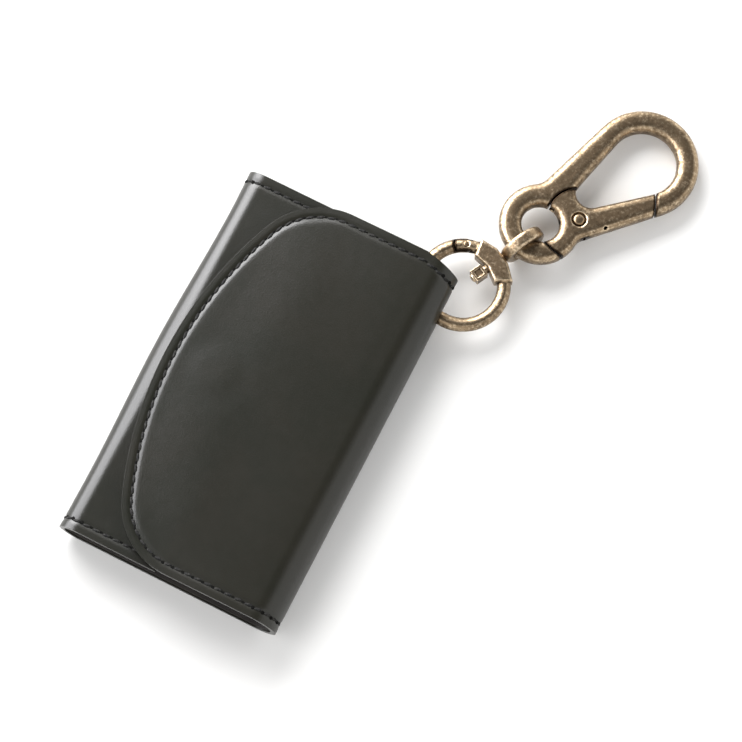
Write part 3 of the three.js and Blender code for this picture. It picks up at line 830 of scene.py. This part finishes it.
def closed_sheet(
    name: str, outer: np.ndarray, inner: np.ndarray, kept: np.ndarray, plain: set[int], rounding: float
) -> bpy.types.Object:
    """Build a closed sheet from the grids of its two faces.

    Args:
        name: The object's name.
        outer: Points of the outer face, rows by columns.
        inner: Points of the inner face.
        kept: Which cells of the grid are there.
        plain: Columns along which the sheet meets another one, so that its edge stays square.
        rounding: Radius of the other edges.

    Returns:
        The object. Its rim has the second material slot.
    """
    rows, columns = outer.shape[:2]
    offset = rows * columns
    faces: list[tuple[int, ...]] = []
    borders: dict[tuple[int, int], int] = {}
    for r in range(rows - 1):
        for c in range(columns - 1):
            if not kept[r, c]:
                continue
            ring = [r * columns + c, r * columns + c + 1, (r + 1) * columns + c + 1, (r + 1) * columns + c]
            faces.append(tuple(ring))
            faces.append(tuple(offset + i for i in reversed(ring)))
            for a, b in zip(ring, ring[1:] + ring[:1]):
                borders[(a, b)] = borders.get((a, b), 0) + 1
    walls = [(a, b) for a, b in borders if (b, a) not in borders]
    rim_start = len(faces)
    faces += [(b, a, offset + a, offset + b) for a, b in walls]
    used = sorted({i for f in faces for i in f})
    number = {old: new for new, old in enumerate(used)}
    points = np.concatenate([outer.reshape(-1, 3), inner.reshape(-1, 3)])[used]
    piece = mesh_object(name, points, [[number[i] for i in f] for f in faces])
    mesh = piece.data
    dress(piece, Finish.LEATHER, Finish.CUT_EDGE_HIGHLIT)
    rim = np.zeros(len(faces), dtype=np.int32)
    rim[rim_start:] = 1
    mesh.polygons.foreach_set("material_index", rim)
    free = set()
    for a, b in walls:
        if a % columns == b % columns and a % columns in plain:
            continue
        free.add(frozenset((number[a], number[b])))
        free.add(frozenset((number[offset + a], number[offset + b])))
    weights = mesh.attributes.new("bevel_weight_edge", "FLOAT", "EDGE")
    weights.data.foreach_set("value", [1.0 if frozenset(e.vertices) in free else 0.0 for e in mesh.edges])
    face_outwards(piece)
    apply_modifier(
        piece, "BEVEL", limit_method="WEIGHT", width=rounding * MM, segments=3, offset_type="OFFSET"
    )
    smooth(piece, 50.0)
    return piece


@dataclass
class Stitching:
    """A row of stitches along a panel's seams, each a short thread between two stitch holes, which are flat
    discs painted dark as shade.
    """

    panel: Panel
    outside: bool
    depth: float
    pitch: float = 2.8
    length: float = 2.2
    width: float = 0.78
    slant: float = 9.0
    reach: float = 0.2
    proud: float = 0.03

    def template(self) -> tuple[np.ndarray, list[tuple[int, ...]], list[int]]:
        """Model one stitch with its hole, a flat disc painted dark as the hole's shade.

        Returns:
            Its points, its faces and the material slot of each face.
        """
        bpy.ops.object.select_all(action="DESELECT")
        bpy.ops.mesh.primitive_uv_sphere_add(segments=8, ring_count=6, radius=0.5 * MM)
        thread = bpy.context.object
        thread.data.transform(Matrix.Rotation(math.pi / 2, 4, "Y"))
        thread.data.transform(Matrix.Diagonal((self.length, self.width, self.width * 0.92, 1.0)))
        thread.data.transform(Matrix.Translation((0.0, 0.0, self.proud * MM)))
        bpy.ops.object.select_all(action="DESELECT")
        # The hole is a flattened disc at the surface, not a cavity; its near-black material is painted shade.
        bpy.ops.mesh.primitive_uv_sphere_add(segments=8, ring_count=4, radius=0.5 * MM)
        hole = bpy.context.object
        hole.data.transform(Matrix.Diagonal((1.1, 1.05, 0.2, 1.0)))
        hole.data.transform(Matrix.Translation((self.pitch / 2 * MM, 0.0, 0.0)))
        points, faces, slots = [], [], []
        for slot, part in enumerate((thread, hole)):
            start = len(points)
            points += [tuple(v.co / MM) for v in part.data.vertices]
            faces += [tuple(start + i for i in p.vertices) for p in part.data.polygons]
            slots += [slot] * len(part.data.polygons)
        select_only(thread, hole)
        bpy.ops.object.delete()
        return np.array(points), faces, slots

    def build(self, name: str) -> bpy.types.Object:
        """Copy the stitch along every seam of the panel.

        Args:
            name: The object's name.

        Returns:
            The object.
        """
        points, faces, slots = self.template()
        all_points, all_faces, all_slots = [], [], []
        for seam in self.panel.seams():
            run = np.concatenate([[0.0], np.cumsum(np.linalg.norm(np.diff(seam, axis=0), axis=1))])
            count = max(1, int(round((run[-1] - self.pitch) / self.pitch)))
            places = (np.arange(count) + 0.5) * run[-1] / count
            at, after, before = (
                self.panel.surface(
                    np.interp(places + step, run, seam[:, 0]),
                    np.interp(places + step, run, seam[:, 1]),
                    self.depth,
                    self.outside,
                )
                for step in (0.0, self.reach, -self.reach)
            )
            along = after - before
            along /= np.linalg.norm(along, axis=1)[:, None]
            normal_x, normal_z = self.panel.bend.normal(np.interp(places, run, seam[:, 0]))
            facing = 1 if self.outside else -1
            up = np.stack([normal_x, np.zeros_like(normal_x), normal_z], axis=-1) * facing
            for place, forward, lift in zip(at, along, up):
                across = np.cross(lift, forward)
                across /= np.linalg.norm(across)
                forward = np.cross(across, lift)
                turn = self.slant * DEG
                ahead_axis = forward * math.cos(turn) + across * math.sin(turn)
                side_axis = across * math.cos(turn) - forward * math.sin(turn)
                start = len(all_points) * len(points)
                all_points.append(place + points @ np.stack([ahead_axis, side_axis, lift]))
                all_faces += [tuple(start + i for i in f) for f in faces]
                all_slots += slots
        piece = mesh_object(name, np.concatenate(all_points), all_faces)
        dress(piece, Finish.THREAD, Finish.NEEDLE_HOLE_SHADE)
        piece.data.polygons.foreach_set("material_index", all_slots)
        smooth(piece, 60.0)
        return piece


def arc_points(centre: Span, radius: float, start: float, stop: float, count: int = 40) -> np.ndarray:
    """Give points of an arc."""
    turn = np.linspace(start, stop, count) * DEG
    return np.stack([centre[0] + radius * np.cos(turn), centre[1] + radius * np.sin(turn)], axis=-1)


@dataclass
class Flap(Panel):
    """The flap: flat over the case, with a long curved edge, and bent over the right fold."""

    apex: float = -27.0
    long_r: float = 104.0
    corner_r: float = 20.0
    slant_x: float = 21.0
    slant_drop: float = 2.2
    cut_turn: float = 78.0
    snap: Span = (-13.5, 0.0)

    def shape(self, inset: float) -> tuple[float, float, float, float, float]:
        """Work out the curved edge's arcs.

        Args:
            inset: How far the edge is drawn in.

        Returns:
            The long arc's centre X and radius, the corner's centre X and Y, and its radius.
        """
        corner = self.corner_r - inset
        long = self.long_r - inset
        apex = self.apex + inset
        corner_y = SIZES.half - self.corner_r
        turn = math.asin(corner_y / (long - corner))
        corner_x = apex + long - (long - corner) * math.cos(turn)
        return apex + long, long, corner_x, corner_y, corner

    def start(self, y: np.ndarray, inset: float) -> np.ndarray:
        """Give X of the curved edge for each row."""
        long_x, long, corner_x, corner_y, corner = self.shape(inset)
        on_long = long_x - np.sqrt(np.maximum(long**2 - y**2, 0.0))
        over = np.clip(np.abs(y) - corner_y, 0.0, corner)
        on_corner = corner_x - np.sqrt(np.maximum(corner**2 - over**2, 0.0))
        touch = long * corner_y / (long - corner)
        return np.where(np.abs(y) > touch, on_corner, on_long)

    def top(self, x: np.ndarray, inset: float) -> np.ndarray:
        """Give the far end, which slants down towards the fold."""
        drop = self.slant_drop * np.maximum(x - self.slant_x, 0.0) / 10.0
        return SIZES.half - inset - drop

    def keep(self, s: float, y: float) -> bool:
        """Leave out the end of the quarter turn beside the notch."""
        return not (s > self.special_columns()[0] and y > SIZES.notch_y)

    def special_columns(self) -> tuple[float, ...]:
        """Give the column where the leather beside the notch ends."""
        return (self.bend.centre_x + self.bend.radius * self.cut_turn * DEG,)

    def special_rows(self) -> tuple[float, ...]:
        """Give the row where the notch begins."""
        return (SIZES.notch_y,)

    def edge_distance(self, x: np.ndarray, y: np.ndarray) -> np.ndarray:
        """Give the distance to the curved edge or to an end."""
        long_x, long, corner_x, corner_y, corner = self.shape(0.0)
        ends = np.where(y > 0, self.top(x, 0.0), SIZES.half) - np.abs(y)
        curve = long - np.hypot(x - long_x, y)
        bow = corner - np.hypot(x - corner_x, np.abs(y) - corner_y)
        past_touch = np.abs(y) * (long_x - corner_x) > corner_y * (long_x - x)
        return np.where((x < corner_x) & past_touch, bow, np.minimum(ends, curve))

    def relief(self, x: np.ndarray, y: np.ndarray) -> np.ndarray:
        """Add the soft round mark of the press stud under the leather."""
        away = np.hypot(x - self.snap[0], y - self.snap[1])
        dome = 0.07 * (1 - smoothstep(3.0, 7.4, away)) - 0.03 * np.exp(-(((away - 8.0) / 2.2) ** 2))
        return super().relief(x, y) + dome

    def shift(self, s: np.ndarray, x: np.ndarray, y: np.ndarray) -> tuple[np.ndarray, np.ndarray]:
        """Let the free edge settle towards the front panel."""
        gap = self.edge_distance(x, y)
        settle_by = -0.75 * (1 - smoothstep(-4.0, 24.0, gap)) * (1 - smoothstep(-10.0, 18.0, x))
        crown = 0.08 * smoothstep(2.0, 20.0, gap) * (1 - smoothstep(18.0, 26.0, x))
        return np.zeros_like(x), settle_by + crown

    def seams(self) -> list[np.ndarray]:
        """Follow the whole edge, from the fold at one end to the notch at the other."""
        inset = SIZES.stitch_inset
        long_x, long, corner_x, corner_y, corner = self.shape(0.0)
        turn = math.asin(corner_y / (long - corner)) / DEG
        low = -SIZES.half + inset
        first = np.array([[self.bend.end, low], [corner_x, low]])
        far_s = np.linspace(corner_x, self.special_columns()[0] - 0.4, 60)
        far_x, _ = self.bend.point(far_s, np.zeros_like(far_s))
        far = np.stack([far_s, self.top(far_x, 0.0) - inset], axis=-1)
        return [
            np.concatenate(
                [
                    first,
                    arc_points((corner_x, -corner_y), corner - inset, 270, 180 + turn),
                    arc_points((long_x, 0.0), long - inset, 180 + turn, 180 - turn, 80),
                    arc_points((corner_x, corner_y), corner - inset, 180 - turn, 90),
                    far[1:],
                ]
            )
        ]


@dataclass
class FrontPanel(Panel):
    """The panel folded over from the left, under the flap."""

    def start(self, y: np.ndarray, inset: float) -> np.ndarray:
        """Give X of the straight free edge."""
        return np.full_like(y, SIZES.front_edge - inset)

    def edge_distance(self, x: np.ndarray, y: np.ndarray) -> np.ndarray:
        """Give the distance to an end or to the free edge."""
        return np.minimum(SIZES.half - np.abs(y), SIZES.front_edge - x)

    def shift(self, s: np.ndarray, x: np.ndarray, y: np.ndarray) -> tuple[np.ndarray, np.ndarray]:
        """Let the rolled edge bow a little along the case."""
        return left_bow(self.bend, s, y), np.zeros_like(x)

    def seams(self) -> list[np.ndarray]:
        """Follow both ends and the free edge."""
        far = SIZES.half - SIZES.stitch_inset
        edge = SIZES.front_edge - SIZES.stitch_inset
        return [np.array([[self.bend.end, -far], [edge, -far], [edge, far], [self.bend.end, far]])]


def left_bow(bend: Bend, s: np.ndarray, y: np.ndarray) -> np.ndarray:
    """Give how far the left fold bows out in X, in waves along the case."""
    share = np.sin(np.minimum(bend.turn(s), math.pi / 2)) ** 2
    return -SIZES.bow * np.cos(2 * math.pi * y / SIZES.bow_wave) * share


@dataclass
class BackPanel(Panel):
    """Half of the back panel, from the middle of the case, with the lower quarter of its fold."""

    open_start: bool = False

    def start(self, y: np.ndarray, inset: float) -> np.ndarray:
        """Begin at the middle of the case."""
        return np.zeros_like(y)

    def relief(self, x: np.ndarray, y: np.ndarray) -> np.ndarray:
        """Keep the face flat where it lies on the table, apart from a deeper stitch groove."""
        return -1.6 * self.groove(self.edge_distance(x, y))


@dataclass
class BackLeft(BackPanel):
    """The left half of the back panel."""

    def shift(self, s: np.ndarray, x: np.ndarray, y: np.ndarray) -> tuple[np.ndarray, np.ndarray]:
        """Let the rolled edge bow a little along the case."""
        return left_bow(self.bend, s, y), np.zeros_like(x)

    def seams(self) -> list[np.ndarray]:
        """Follow both ends."""
        far = SIZES.half - SIZES.stitch_inset
        return [np.array([[0.0, y], [self.bend.end, y]]) for y in (-far, far)]


@dataclass
class BackRight(BackPanel):
    """The right half of the back panel, with the notch for the ring."""

    def keep(self, s: float, y: float) -> bool:
        """Leave out the notch for the ring."""
        return not (s > SIZES.notch_x and y > SIZES.notch_y)

    def special_columns(self) -> tuple[float, ...]:
        """Give the column of the notch's side."""
        return (SIZES.notch_x,)

    def special_rows(self) -> tuple[float, ...]:
        """Give the row where the notch begins."""
        return (SIZES.notch_y,)

    def edge_distance(self, x: np.ndarray, y: np.ndarray) -> np.ndarray:
        """Give the distance to an end or to the notch."""
        side = np.where(x < SIZES.notch_x, SIZES.notch_x - x, 0.0)
        below = np.where(y < SIZES.notch_y, SIZES.notch_y - y, 0.0)
        return np.minimum(SIZES.half - np.abs(y), np.hypot(side, below))

    def seams(self) -> list[np.ndarray]:
        """Follow both ends and the sides of the notch."""
        inset = SIZES.stitch_inset
        far = SIZES.half - inset
        side = SIZES.notch_x - inset
        below = SIZES.notch_y - inset
        return [
            np.array([[0.0, -far], [self.bend.end, -far]]),
            np.array([[0.0, far], [side, far], [side, below], [self.bend.end, below]]),
        ]


# ---------------------------------------------------------------- the strap loop
@dataclass
class StrapLoop:
    """A leather strap that goes round the ring's wire, both ends sewn and riveted under the flap."""

    ring_at: Point = (32.2, 50.6, 5.9)
    wire_r: float = 10.6
    direction: float = 222.0
    width: float = 5.0
    thick: float = 0.86
    top: float = 5.57

    def path(self) -> np.ndarray:
        """Give the strap's middle line, x towards the ring's centre from the wire and z up.

        Returns:
            The points, one after the other.
        """
        upper = [(-11.4, self.top), (-8.6, self.top), (-5.9, self.top - 0.02), (-3.7, 4.95), (-1.6, 3.75)]
        round_wire = [tuple(p) for p in arc_points((0.0, 0.0), 2.95, 72, -172, 12)]
        lower = [(-3.35, 1.5), (-4.3, 3.1), (-5.7, 4.35), (-8.6, self.top - 0.9), (-11.4, self.top - 0.9)]
        knots = np.array(upper + round_wire + lower)
        smooth_points = []
        for i in range(len(knots) - 1):
            p0, p1, p2, p3 = (knots[min(max(i + k, 0), len(knots) - 1)] for k in (-1, 0, 1, 2))
            for t in np.linspace(0, 1, 6, endpoint=False):
                a = 2 * p1 + (p2 - p0) * t
                b = (2 * p0 - 5 * p1 + 4 * p2 - p3) * t**2
                c = (3 * p1 - p0 - 3 * p2 + p3) * t**3
                smooth_points.append((a + b + c) / 2)
        smooth_points.append(knots[-1])
        return np.array(smooth_points)

    def build(self) -> bpy.types.Object:
        """Build the strap.

        Returns:
            The object.
        """
        line = self.path()
        ahead = np.gradient(line, axis=0)
        ahead /= np.linalg.norm(ahead, axis=1)[:, None]
        out = np.stack([-ahead[:, 1], ahead[:, 0]], axis=-1)
        across = np.linspace(-self.width / 2, self.width / 2, 9)
        faces = []
        for offset in (self.thick / 2, -self.thick / 2):
            moved = line + out * offset
            away = moved[:, 0] - self.wire_r
            rows = [np.stack([away, np.full(len(line), w), moved[:, 1]], axis=-1) for w in across]
            faces.append(np.array(rows))
        spin = np.array(Matrix.Rotation((self.direction - 180) * DEG, 3, "Z"))
        outer, inner = (face @ spin.T + np.array(self.ring_at) for face in faces)
        kept = np.ones((outer.shape[0] - 1, outer.shape[1] - 1), dtype=bool)
        piece = closed_sheet("strap_loop", outer, inner, kept, set(), 0.2)
        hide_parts("ring_loop", "loop_tab")
        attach(piece, "flap")
        log.info("strap loop round the ring's wire")
        return piece


# ---------------------------------------------------------------- metal parts
def body_of(node: str) -> str:
    """Give the body that a CAD node rides on."""
    for body, nodes in frame["record"]["behaviour"]["bodies"].items():
        names = nodes if isinstance(nodes, list) else nodes.get("nodes", [])
        if node in names:
            return body
    raise ValueError(f"no body holds {node}")


@dataclass
class Cutter:
    """A round or square tool that takes metal away from a part."""

    at: Point
    size: tuple[float, float, float]
    turn: Point = (0.0, 0.0, 0.0)
    round_tool: bool = True

    def build(self, place: Matrix) -> bpy.types.Object:
        """Make the tool.

        Args:
            place: The frame in which its place is given.

        Returns:
            The tool as an object.
        """
        bpy.ops.object.select_all(action="DESELECT")
        if self.round_tool:
            bpy.ops.mesh.primitive_cylinder_add(vertices=40, radius=0.5 * MM, depth=1 * MM)
        else:
            bpy.ops.mesh.primitive_cube_add(size=1 * MM)
        tool = bpy.context.object
        turned = Matrix.Translation(Vector(self.at) * MM)
        for axis, degrees in zip("XYZ", self.turn):
            turned = turned @ Matrix.Rotation(degrees * DEG, 4, axis)
        tool.data.transform(place @ turned @ Matrix.Diagonal((*self.size, 1.0)))
        return tool


@dataclass
class CastPart:
    """A cast metal part: the CAD shape with its tooling marks cut in, then softened as a worn casting.

    Where it meets its neighbour it stays crisp, and it is painted dark there as shade in the gap.
    """

    node: str
    slot: str
    finish: Finish
    voxel: float = 0.2
    passes: int = 8
    grow: float = 0.0
    neighbour: str = ""
    cutters: tuple[Cutter, ...] = ()
    place: Matrix = field(default_factory=lambda: Matrix.Identity(4))

    def build(self) -> bpy.types.Object:
        """Build the part.

        Returns:
            The object, riding on its CAD node's body.
        """
        piece = copy_node(self.node)
        for cutter in self.cutters:
            tool = cutter.build(self.place)
            apply_modifier(piece, "BOOLEAN", object=tool, operation="DIFFERENCE", solver="EXACT")
            bpy.data.objects.remove(tool)
        apply_modifier(piece, "REMESH", mode="VOXEL", voxel_size=self.voxel * MM, use_smooth_shade=True)
        apply_modifier(piece, "SMOOTH", factor=0.5, iterations=3)
        # Nearness to the neighbour later paints the gap dark as shade.
        near = nearness(piece, self.neighbour) if self.neighbour else np.zeros(len(piece.data.vertices))
        free = piece.vertex_groups.new(name="free")
        for index, weight in enumerate(1.0 - near):
            free.add([index], float(weight), "REPLACE")
        apply_modifier(piece, "SMOOTH", factor=0.5, iterations=self.passes, vertex_group="free")
        if self.grow:
            apply_modifier(piece, "DISPLACE", strength=self.grow * MM, mid_level=0.0, vertex_group="free")
        write_crest(piece, near)
        select_only(piece)
        bpy.ops.object.shade_smooth()
        finish_metal(piece, self.node, self.finish)
        return piece


@dataclass
class TurnedPart:
    """A small turned or stamped part: the CAD shape with its edges broken and its round faces smoothed."""

    node: str
    slot: str
    finish: Finish
    edge: float = 0.12

    def build(self) -> bpy.types.Object:
        """Build the part.

        Returns:
            The object, riding on its CAD node's body.
        """
        piece = copy_node(self.node)
        apply_modifier(piece, "DECIMATE", decimate_type="DISSOLVE", angle_limit=2 * DEG)
        apply_modifier(
            piece, "BEVEL", limit_method="ANGLE", angle_limit=40 * DEG, width=self.edge * MM, segments=3
        )
        attribute = piece.data.attributes.new("crest", "FLOAT", "POINT")
        attribute.data.foreach_set("value", np.full(len(piece.data.vertices), 0.5, dtype=np.float32))
        smooth(piece, 32.0)
        finish_metal(piece, self.node, self.finish)
        return piece


def copy_node(node: str) -> bpy.types.Object:
    """Copy a CAD node as a merged mesh of its own.

    Args:
        node: The node's name.

    Returns:
        The copy, unparented and in place.
    """
    source = frame["nodes"][node]
    mesh = source.data.copy()
    mesh.transform(source.matrix_world)
    piece = bpy.data.objects.new(f"{node}_worn", mesh)
    bpy.context.scene.collection.objects.link(piece)
    select_only(piece)
    bpy.ops.object.mode_set(mode="EDIT")
    bpy.ops.mesh.select_all(action="SELECT")
    bpy.ops.mesh.remove_doubles(threshold=0.002 * MM)
    bpy.ops.object.mode_set(mode="OBJECT")
    return piece


def finish_metal(piece: bpy.types.Object, node: str, finish: Finish) -> None:
    """Dress a metal part and let it stand for its CAD node."""
    dress(piece, finish)
    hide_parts(node)
    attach(piece, body_of(node))
    log.info("%s: %d faces", piece.name, len(piece.data.polygons))


@dataclass
class Fittings:
    """The ring, the swivel, the snap hook, the press stud and the key hooks."""

    hook_at: Point = (42.693, 74.303, 5.55)
    hook_turn: float = 57.8
    hook_tilt: float = 3.7
    hook_pin: Span = (8.9, -4.4)
    chain_turn: float = 62.0
    ring_at: Point = (32.2, 50.6, 5.9)

    def hook_frame(self) -> Matrix:
        """Give the snap hook's own frame: X along it from the small loop, Z up."""
        spin = Matrix.Rotation(self.hook_turn * DEG, 4, "Z") @ Matrix.Rotation(self.hook_tilt * DEG, 4, "Y")
        return Matrix.Translation(Vector(self.hook_at) * MM) @ spin

    def ring_frame(self) -> Matrix:
        """Give the ring's own frame: X towards the swivel, Z up."""
        return Matrix.Translation(Vector(self.ring_at) * MM) @ Matrix.Rotation(self.chain_turn * DEG, 4, "Z")

    def gate_cutters(self) -> tuple[Cutter, ...]:
        """Give the tools that shape the hook's gate: the ring round its pin and the flank's hole."""
        x, y = self.hook_pin
        pockets = tuple(Cutter((x, y, side * 3.2), (4.0, 4.0, 2.4)) for side in (1, -1))
        hole = Cutter((13.8, -9.6, 1.7), (1.1, 1.1, 2.2), (50.0, 0.0, 0.0))
        return (*pockets, hole)

    def build(self) -> None:
        """Build every metal part."""
        hook = self.hook_frame()
        ring = self.ring_frame()
        head_pocket = Cutter((5.0, 0.0, 1.9), (1.9, 1.9, 0.9), round_tool=False)
        brass = ("antique_brass", Finish.BRASS)
        nickel = ("nickel", Finish.NICKEL)
        parts: list[CastPart | TurnedPart] = [
            CastPart("hook_body", *brass, voxel=0.2, passes=50, grow=0.1, neighbour="hook_gate"),
            CastPart(
                "hook_gate",
                *brass,
                voxel=0.16,
                passes=16,
                neighbour="hook_body",
                cutters=self.gate_cutters(),
                place=hook,
            ),
            CastPart("ring_body", *brass, voxel=0.16, passes=8, neighbour="ring_gate"),
            CastPart("ring_gate", *brass, voxel=0.14, passes=8, neighbour="ring_body"),
            CastPart("swivel_eye", *brass, voxel=0.13, passes=50, grow=0.2),
            CastPart("swivel_head", *brass, voxel=0.1, passes=4, cutters=(head_pocket,), place=ring),
        ]
        parts += [CastPart(f"key_hook_{i}", *nickel, voxel=0.12, passes=4) for i in range(1, 5)]
        edges = [("hook_gate_pin", 0.6), ("ring_gate_pin", 0.25)]
        edges += [(f"hook_pivot_{i}", 0.12) for i in range(1, 5)]
        edges += [(node, 0.2) for node in ("plate_rivet_1", "plate_rivet_2", "loop_rivet", "key_plate")]
        parts += [TurnedPart(node, *brass, edge) for node, edge in edges]
        parts += [TurnedPart(f"snap_{name}", *nickel) for name in ("cap", "socket", "stud", "post")]
        parts += [TurnedPart(f"key_latch_{i}", "spring_steel", Finish.STEEL, 0.06) for i in range(1, 5)]
        for part in parts:
            part.build()
        spring = frame["nodes"]["hook_gate_spring"]
        spring.data.materials.clear()
        spring.data.materials.append(Finish.STEEL.material())


# ---------------------------------------------------------------- the stage
@dataclass
class SoftBox:
    """A soft rectangular light, aimed at a point; one that is sheen only is seen in highlights alone."""

    name: str
    at: Point
    aim: Point
    size: Span
    power: float
    colour: Colour
    sheen_only: bool

    def build(self) -> None:
        """Add the light."""
        data = bpy.data.lights.new(self.name, "AREA")
        data.shape = "RECTANGLE"
        data.size, data.size_y = self.size[0] * MM, self.size[1] * MM
        data.energy = self.power
        data.color = self.colour
        lamp = bpy.data.objects.new(self.name, data)
        lamp.location = Vector(self.at) * MM
        lamp.rotation_euler = (Vector(self.aim) - Vector(self.at)).to_track_quat("-Z", "Y").to_euler()
        lamp.visible_diffuse = not self.sheen_only
        bpy.context.scene.collection.objects.link(lamp)


@dataclass
class Stage:
    """The table, the lights and the camera."""

    target: Point = (20.74, 20.80, 0.0)
    azimuth: float = -26.93
    elevation: float = 76.0
    distance: float = 946.5
    lens: float = 177.9
    floor_size: float = 1600.0
    wall_light: float = 1.25
    window_light: float = 2.2
    ceiling_light: float = 0.1
    overhead: Point = (-0.11, 0.216, 0.970)
    dark_from: Span = (0.55, 0.87)
    window: Point = (-0.80, 0.50, 0.33)

    def camera(self) -> None:
        """Place the camera."""
        az, el = self.azimuth * DEG, self.elevation * DEG
        forward = Vector((math.sin(az) * math.cos(el), math.cos(az) * math.cos(el), -math.sin(el)))
        data = bpy.data.cameras.new("camera")
        data.lens = self.lens
        data.sensor_width = 36.0
        data.clip_start = 0.01
        data.clip_end = 20.0
        camera = bpy.data.objects.new("camera", data)
        camera.location = (Vector(self.target) - forward * self.distance) * MM
        camera.rotation_euler = forward.to_track_quat("-Z", "Y").to_euler()
        bpy.context.scene.collection.objects.link(camera)
        bpy.context.scene.camera = camera

    def room(self) -> None:
        """Light the scene from a pale room, brightest towards its window and dark overhead."""
        world = bpy.data.worlds.new("soft room")
        world.use_nodes = True
        board = NodeBoard(world.node_tree)
        way = board.add("ShaderNodeTexCoord")
        fade = self.ramp(board, way.outputs["Generated"], self.overhead, self.dark_from, (1.0, 0.0))
        walls = (self.wall_light, self.window_light)
        glow = self.ramp(board, way.outputs["Generated"], self.window, (-0.5, 1.0), walls)
        background = world.node_tree.nodes["Background"]
        background.inputs["Color"].default_value = (1.0, 0.995, 0.985, 1.0)
        strength = board.math("ADD", board.math("MULTIPLY", glow, fade), self.ceiling_light)
        board.link(strength, background.inputs["Strength"])
        bpy.context.scene.world = world

    def ramp(
        self, board: NodeBoard, way: bpy.types.NodeSocket, centre: Point, span: Span, ends: Span
    ) -> bpy.types.NodeSocket:
        """Give a value that eases from one end to the other as a direction nears a centre.

        Args:
            board: The world's board.
            way: The direction.
            centre: The direction it nears.
            span: Cosines between which the value changes.
            ends: The value below and above that span.

        Returns:
            The value.
        """
        near = board.add("ShaderNodeVectorMath", operation="DOT_PRODUCT")
        board.link(way, near.inputs[0])
        near.inputs[1].default_value = Vector(centre).normalized()
        ease = board.add(
            "ShaderNodeMapRange",
            interpolation_type="SMOOTHSTEP",
            inputs={"From Min": span[0], "From Max": span[1], "To Min": ends[0], "To Max": ends[1]},
        )
        board.link(near.outputs["Value"], ease.inputs["Value"])
        return ease.outputs["Result"]

    def build(self) -> None:
        """Build the table, the lights and the world, and place the camera."""
        self.camera()
        bpy.ops.object.select_all(action="DESELECT")
        bpy.ops.mesh.primitive_plane_add(size=self.floor_size * MM, location=(0.0, 0.0, -0.0002))
        floor = bpy.context.object
        floor.name = "table_top"
        settle(floor)
        dress(floor, Finish.FLOOR)
        self.room()
        SoftBox(
            "key", (-400.0, 360.0, 380.0), (10.0, 20.0, 0.0), (520.0, 420.0), 6.0, (1.0, 0.995, 0.985), False
        ).build()
        SoftBox(
            "left_wall", (-400.0, 40.0, 260.0), (-28.0, 10.0, 6.0), (760.0, 500.0), 12.0, (0.95, 0.95, 1.0), True
        ).build()
        bpy.context.scene.view_settings.view_transform = "Standard"


def main() -> None:
    """Build the case, the strap loop, the fittings and the stage."""
    logging.basicConfig(level=logging.INFO, format="%(name)s: %(message)s")
    right_upper = Bend(Side.RIGHT, True, SIZES.right_x, SIZES.right_r)
    right_lower = Bend(Side.RIGHT, False, SIZES.right_x, SIZES.right_r)
    left_upper = Bend(Side.LEFT, True, SIZES.left_x, SIZES.left_r)
    left_lower = Bend(Side.LEFT, False, SIZES.left_x, SIZES.left_r)
    back = (("back_leather",), ("back_lining",))
    panels: Iterable[Panel] = (
        Flap(
            "flap",
            right_upper,
            ("right_fold", "flap"),
            ("flap_leather", "right_fold_leather"),
            ("flap_lining", "right_fold_lining"),
        ),
        FrontPanel(
            "front",
            left_upper,
            ("left_fold", "front_panel"),
            ("front_leather", "left_fold_leather"),
            ("front_lining", "left_fold_lining"),
        ),
        BackLeft("back_left", left_lower, ("case_back", "left_fold"), *back),
        BackRight("back_right", right_lower, ("case_back", "right_fold"), *back),
    )
    for panel in panels:
        panel.build()
    StrapLoop().build()
    Fittings().build()
    Stage().build()


if __name__ == "__main__":
    main()
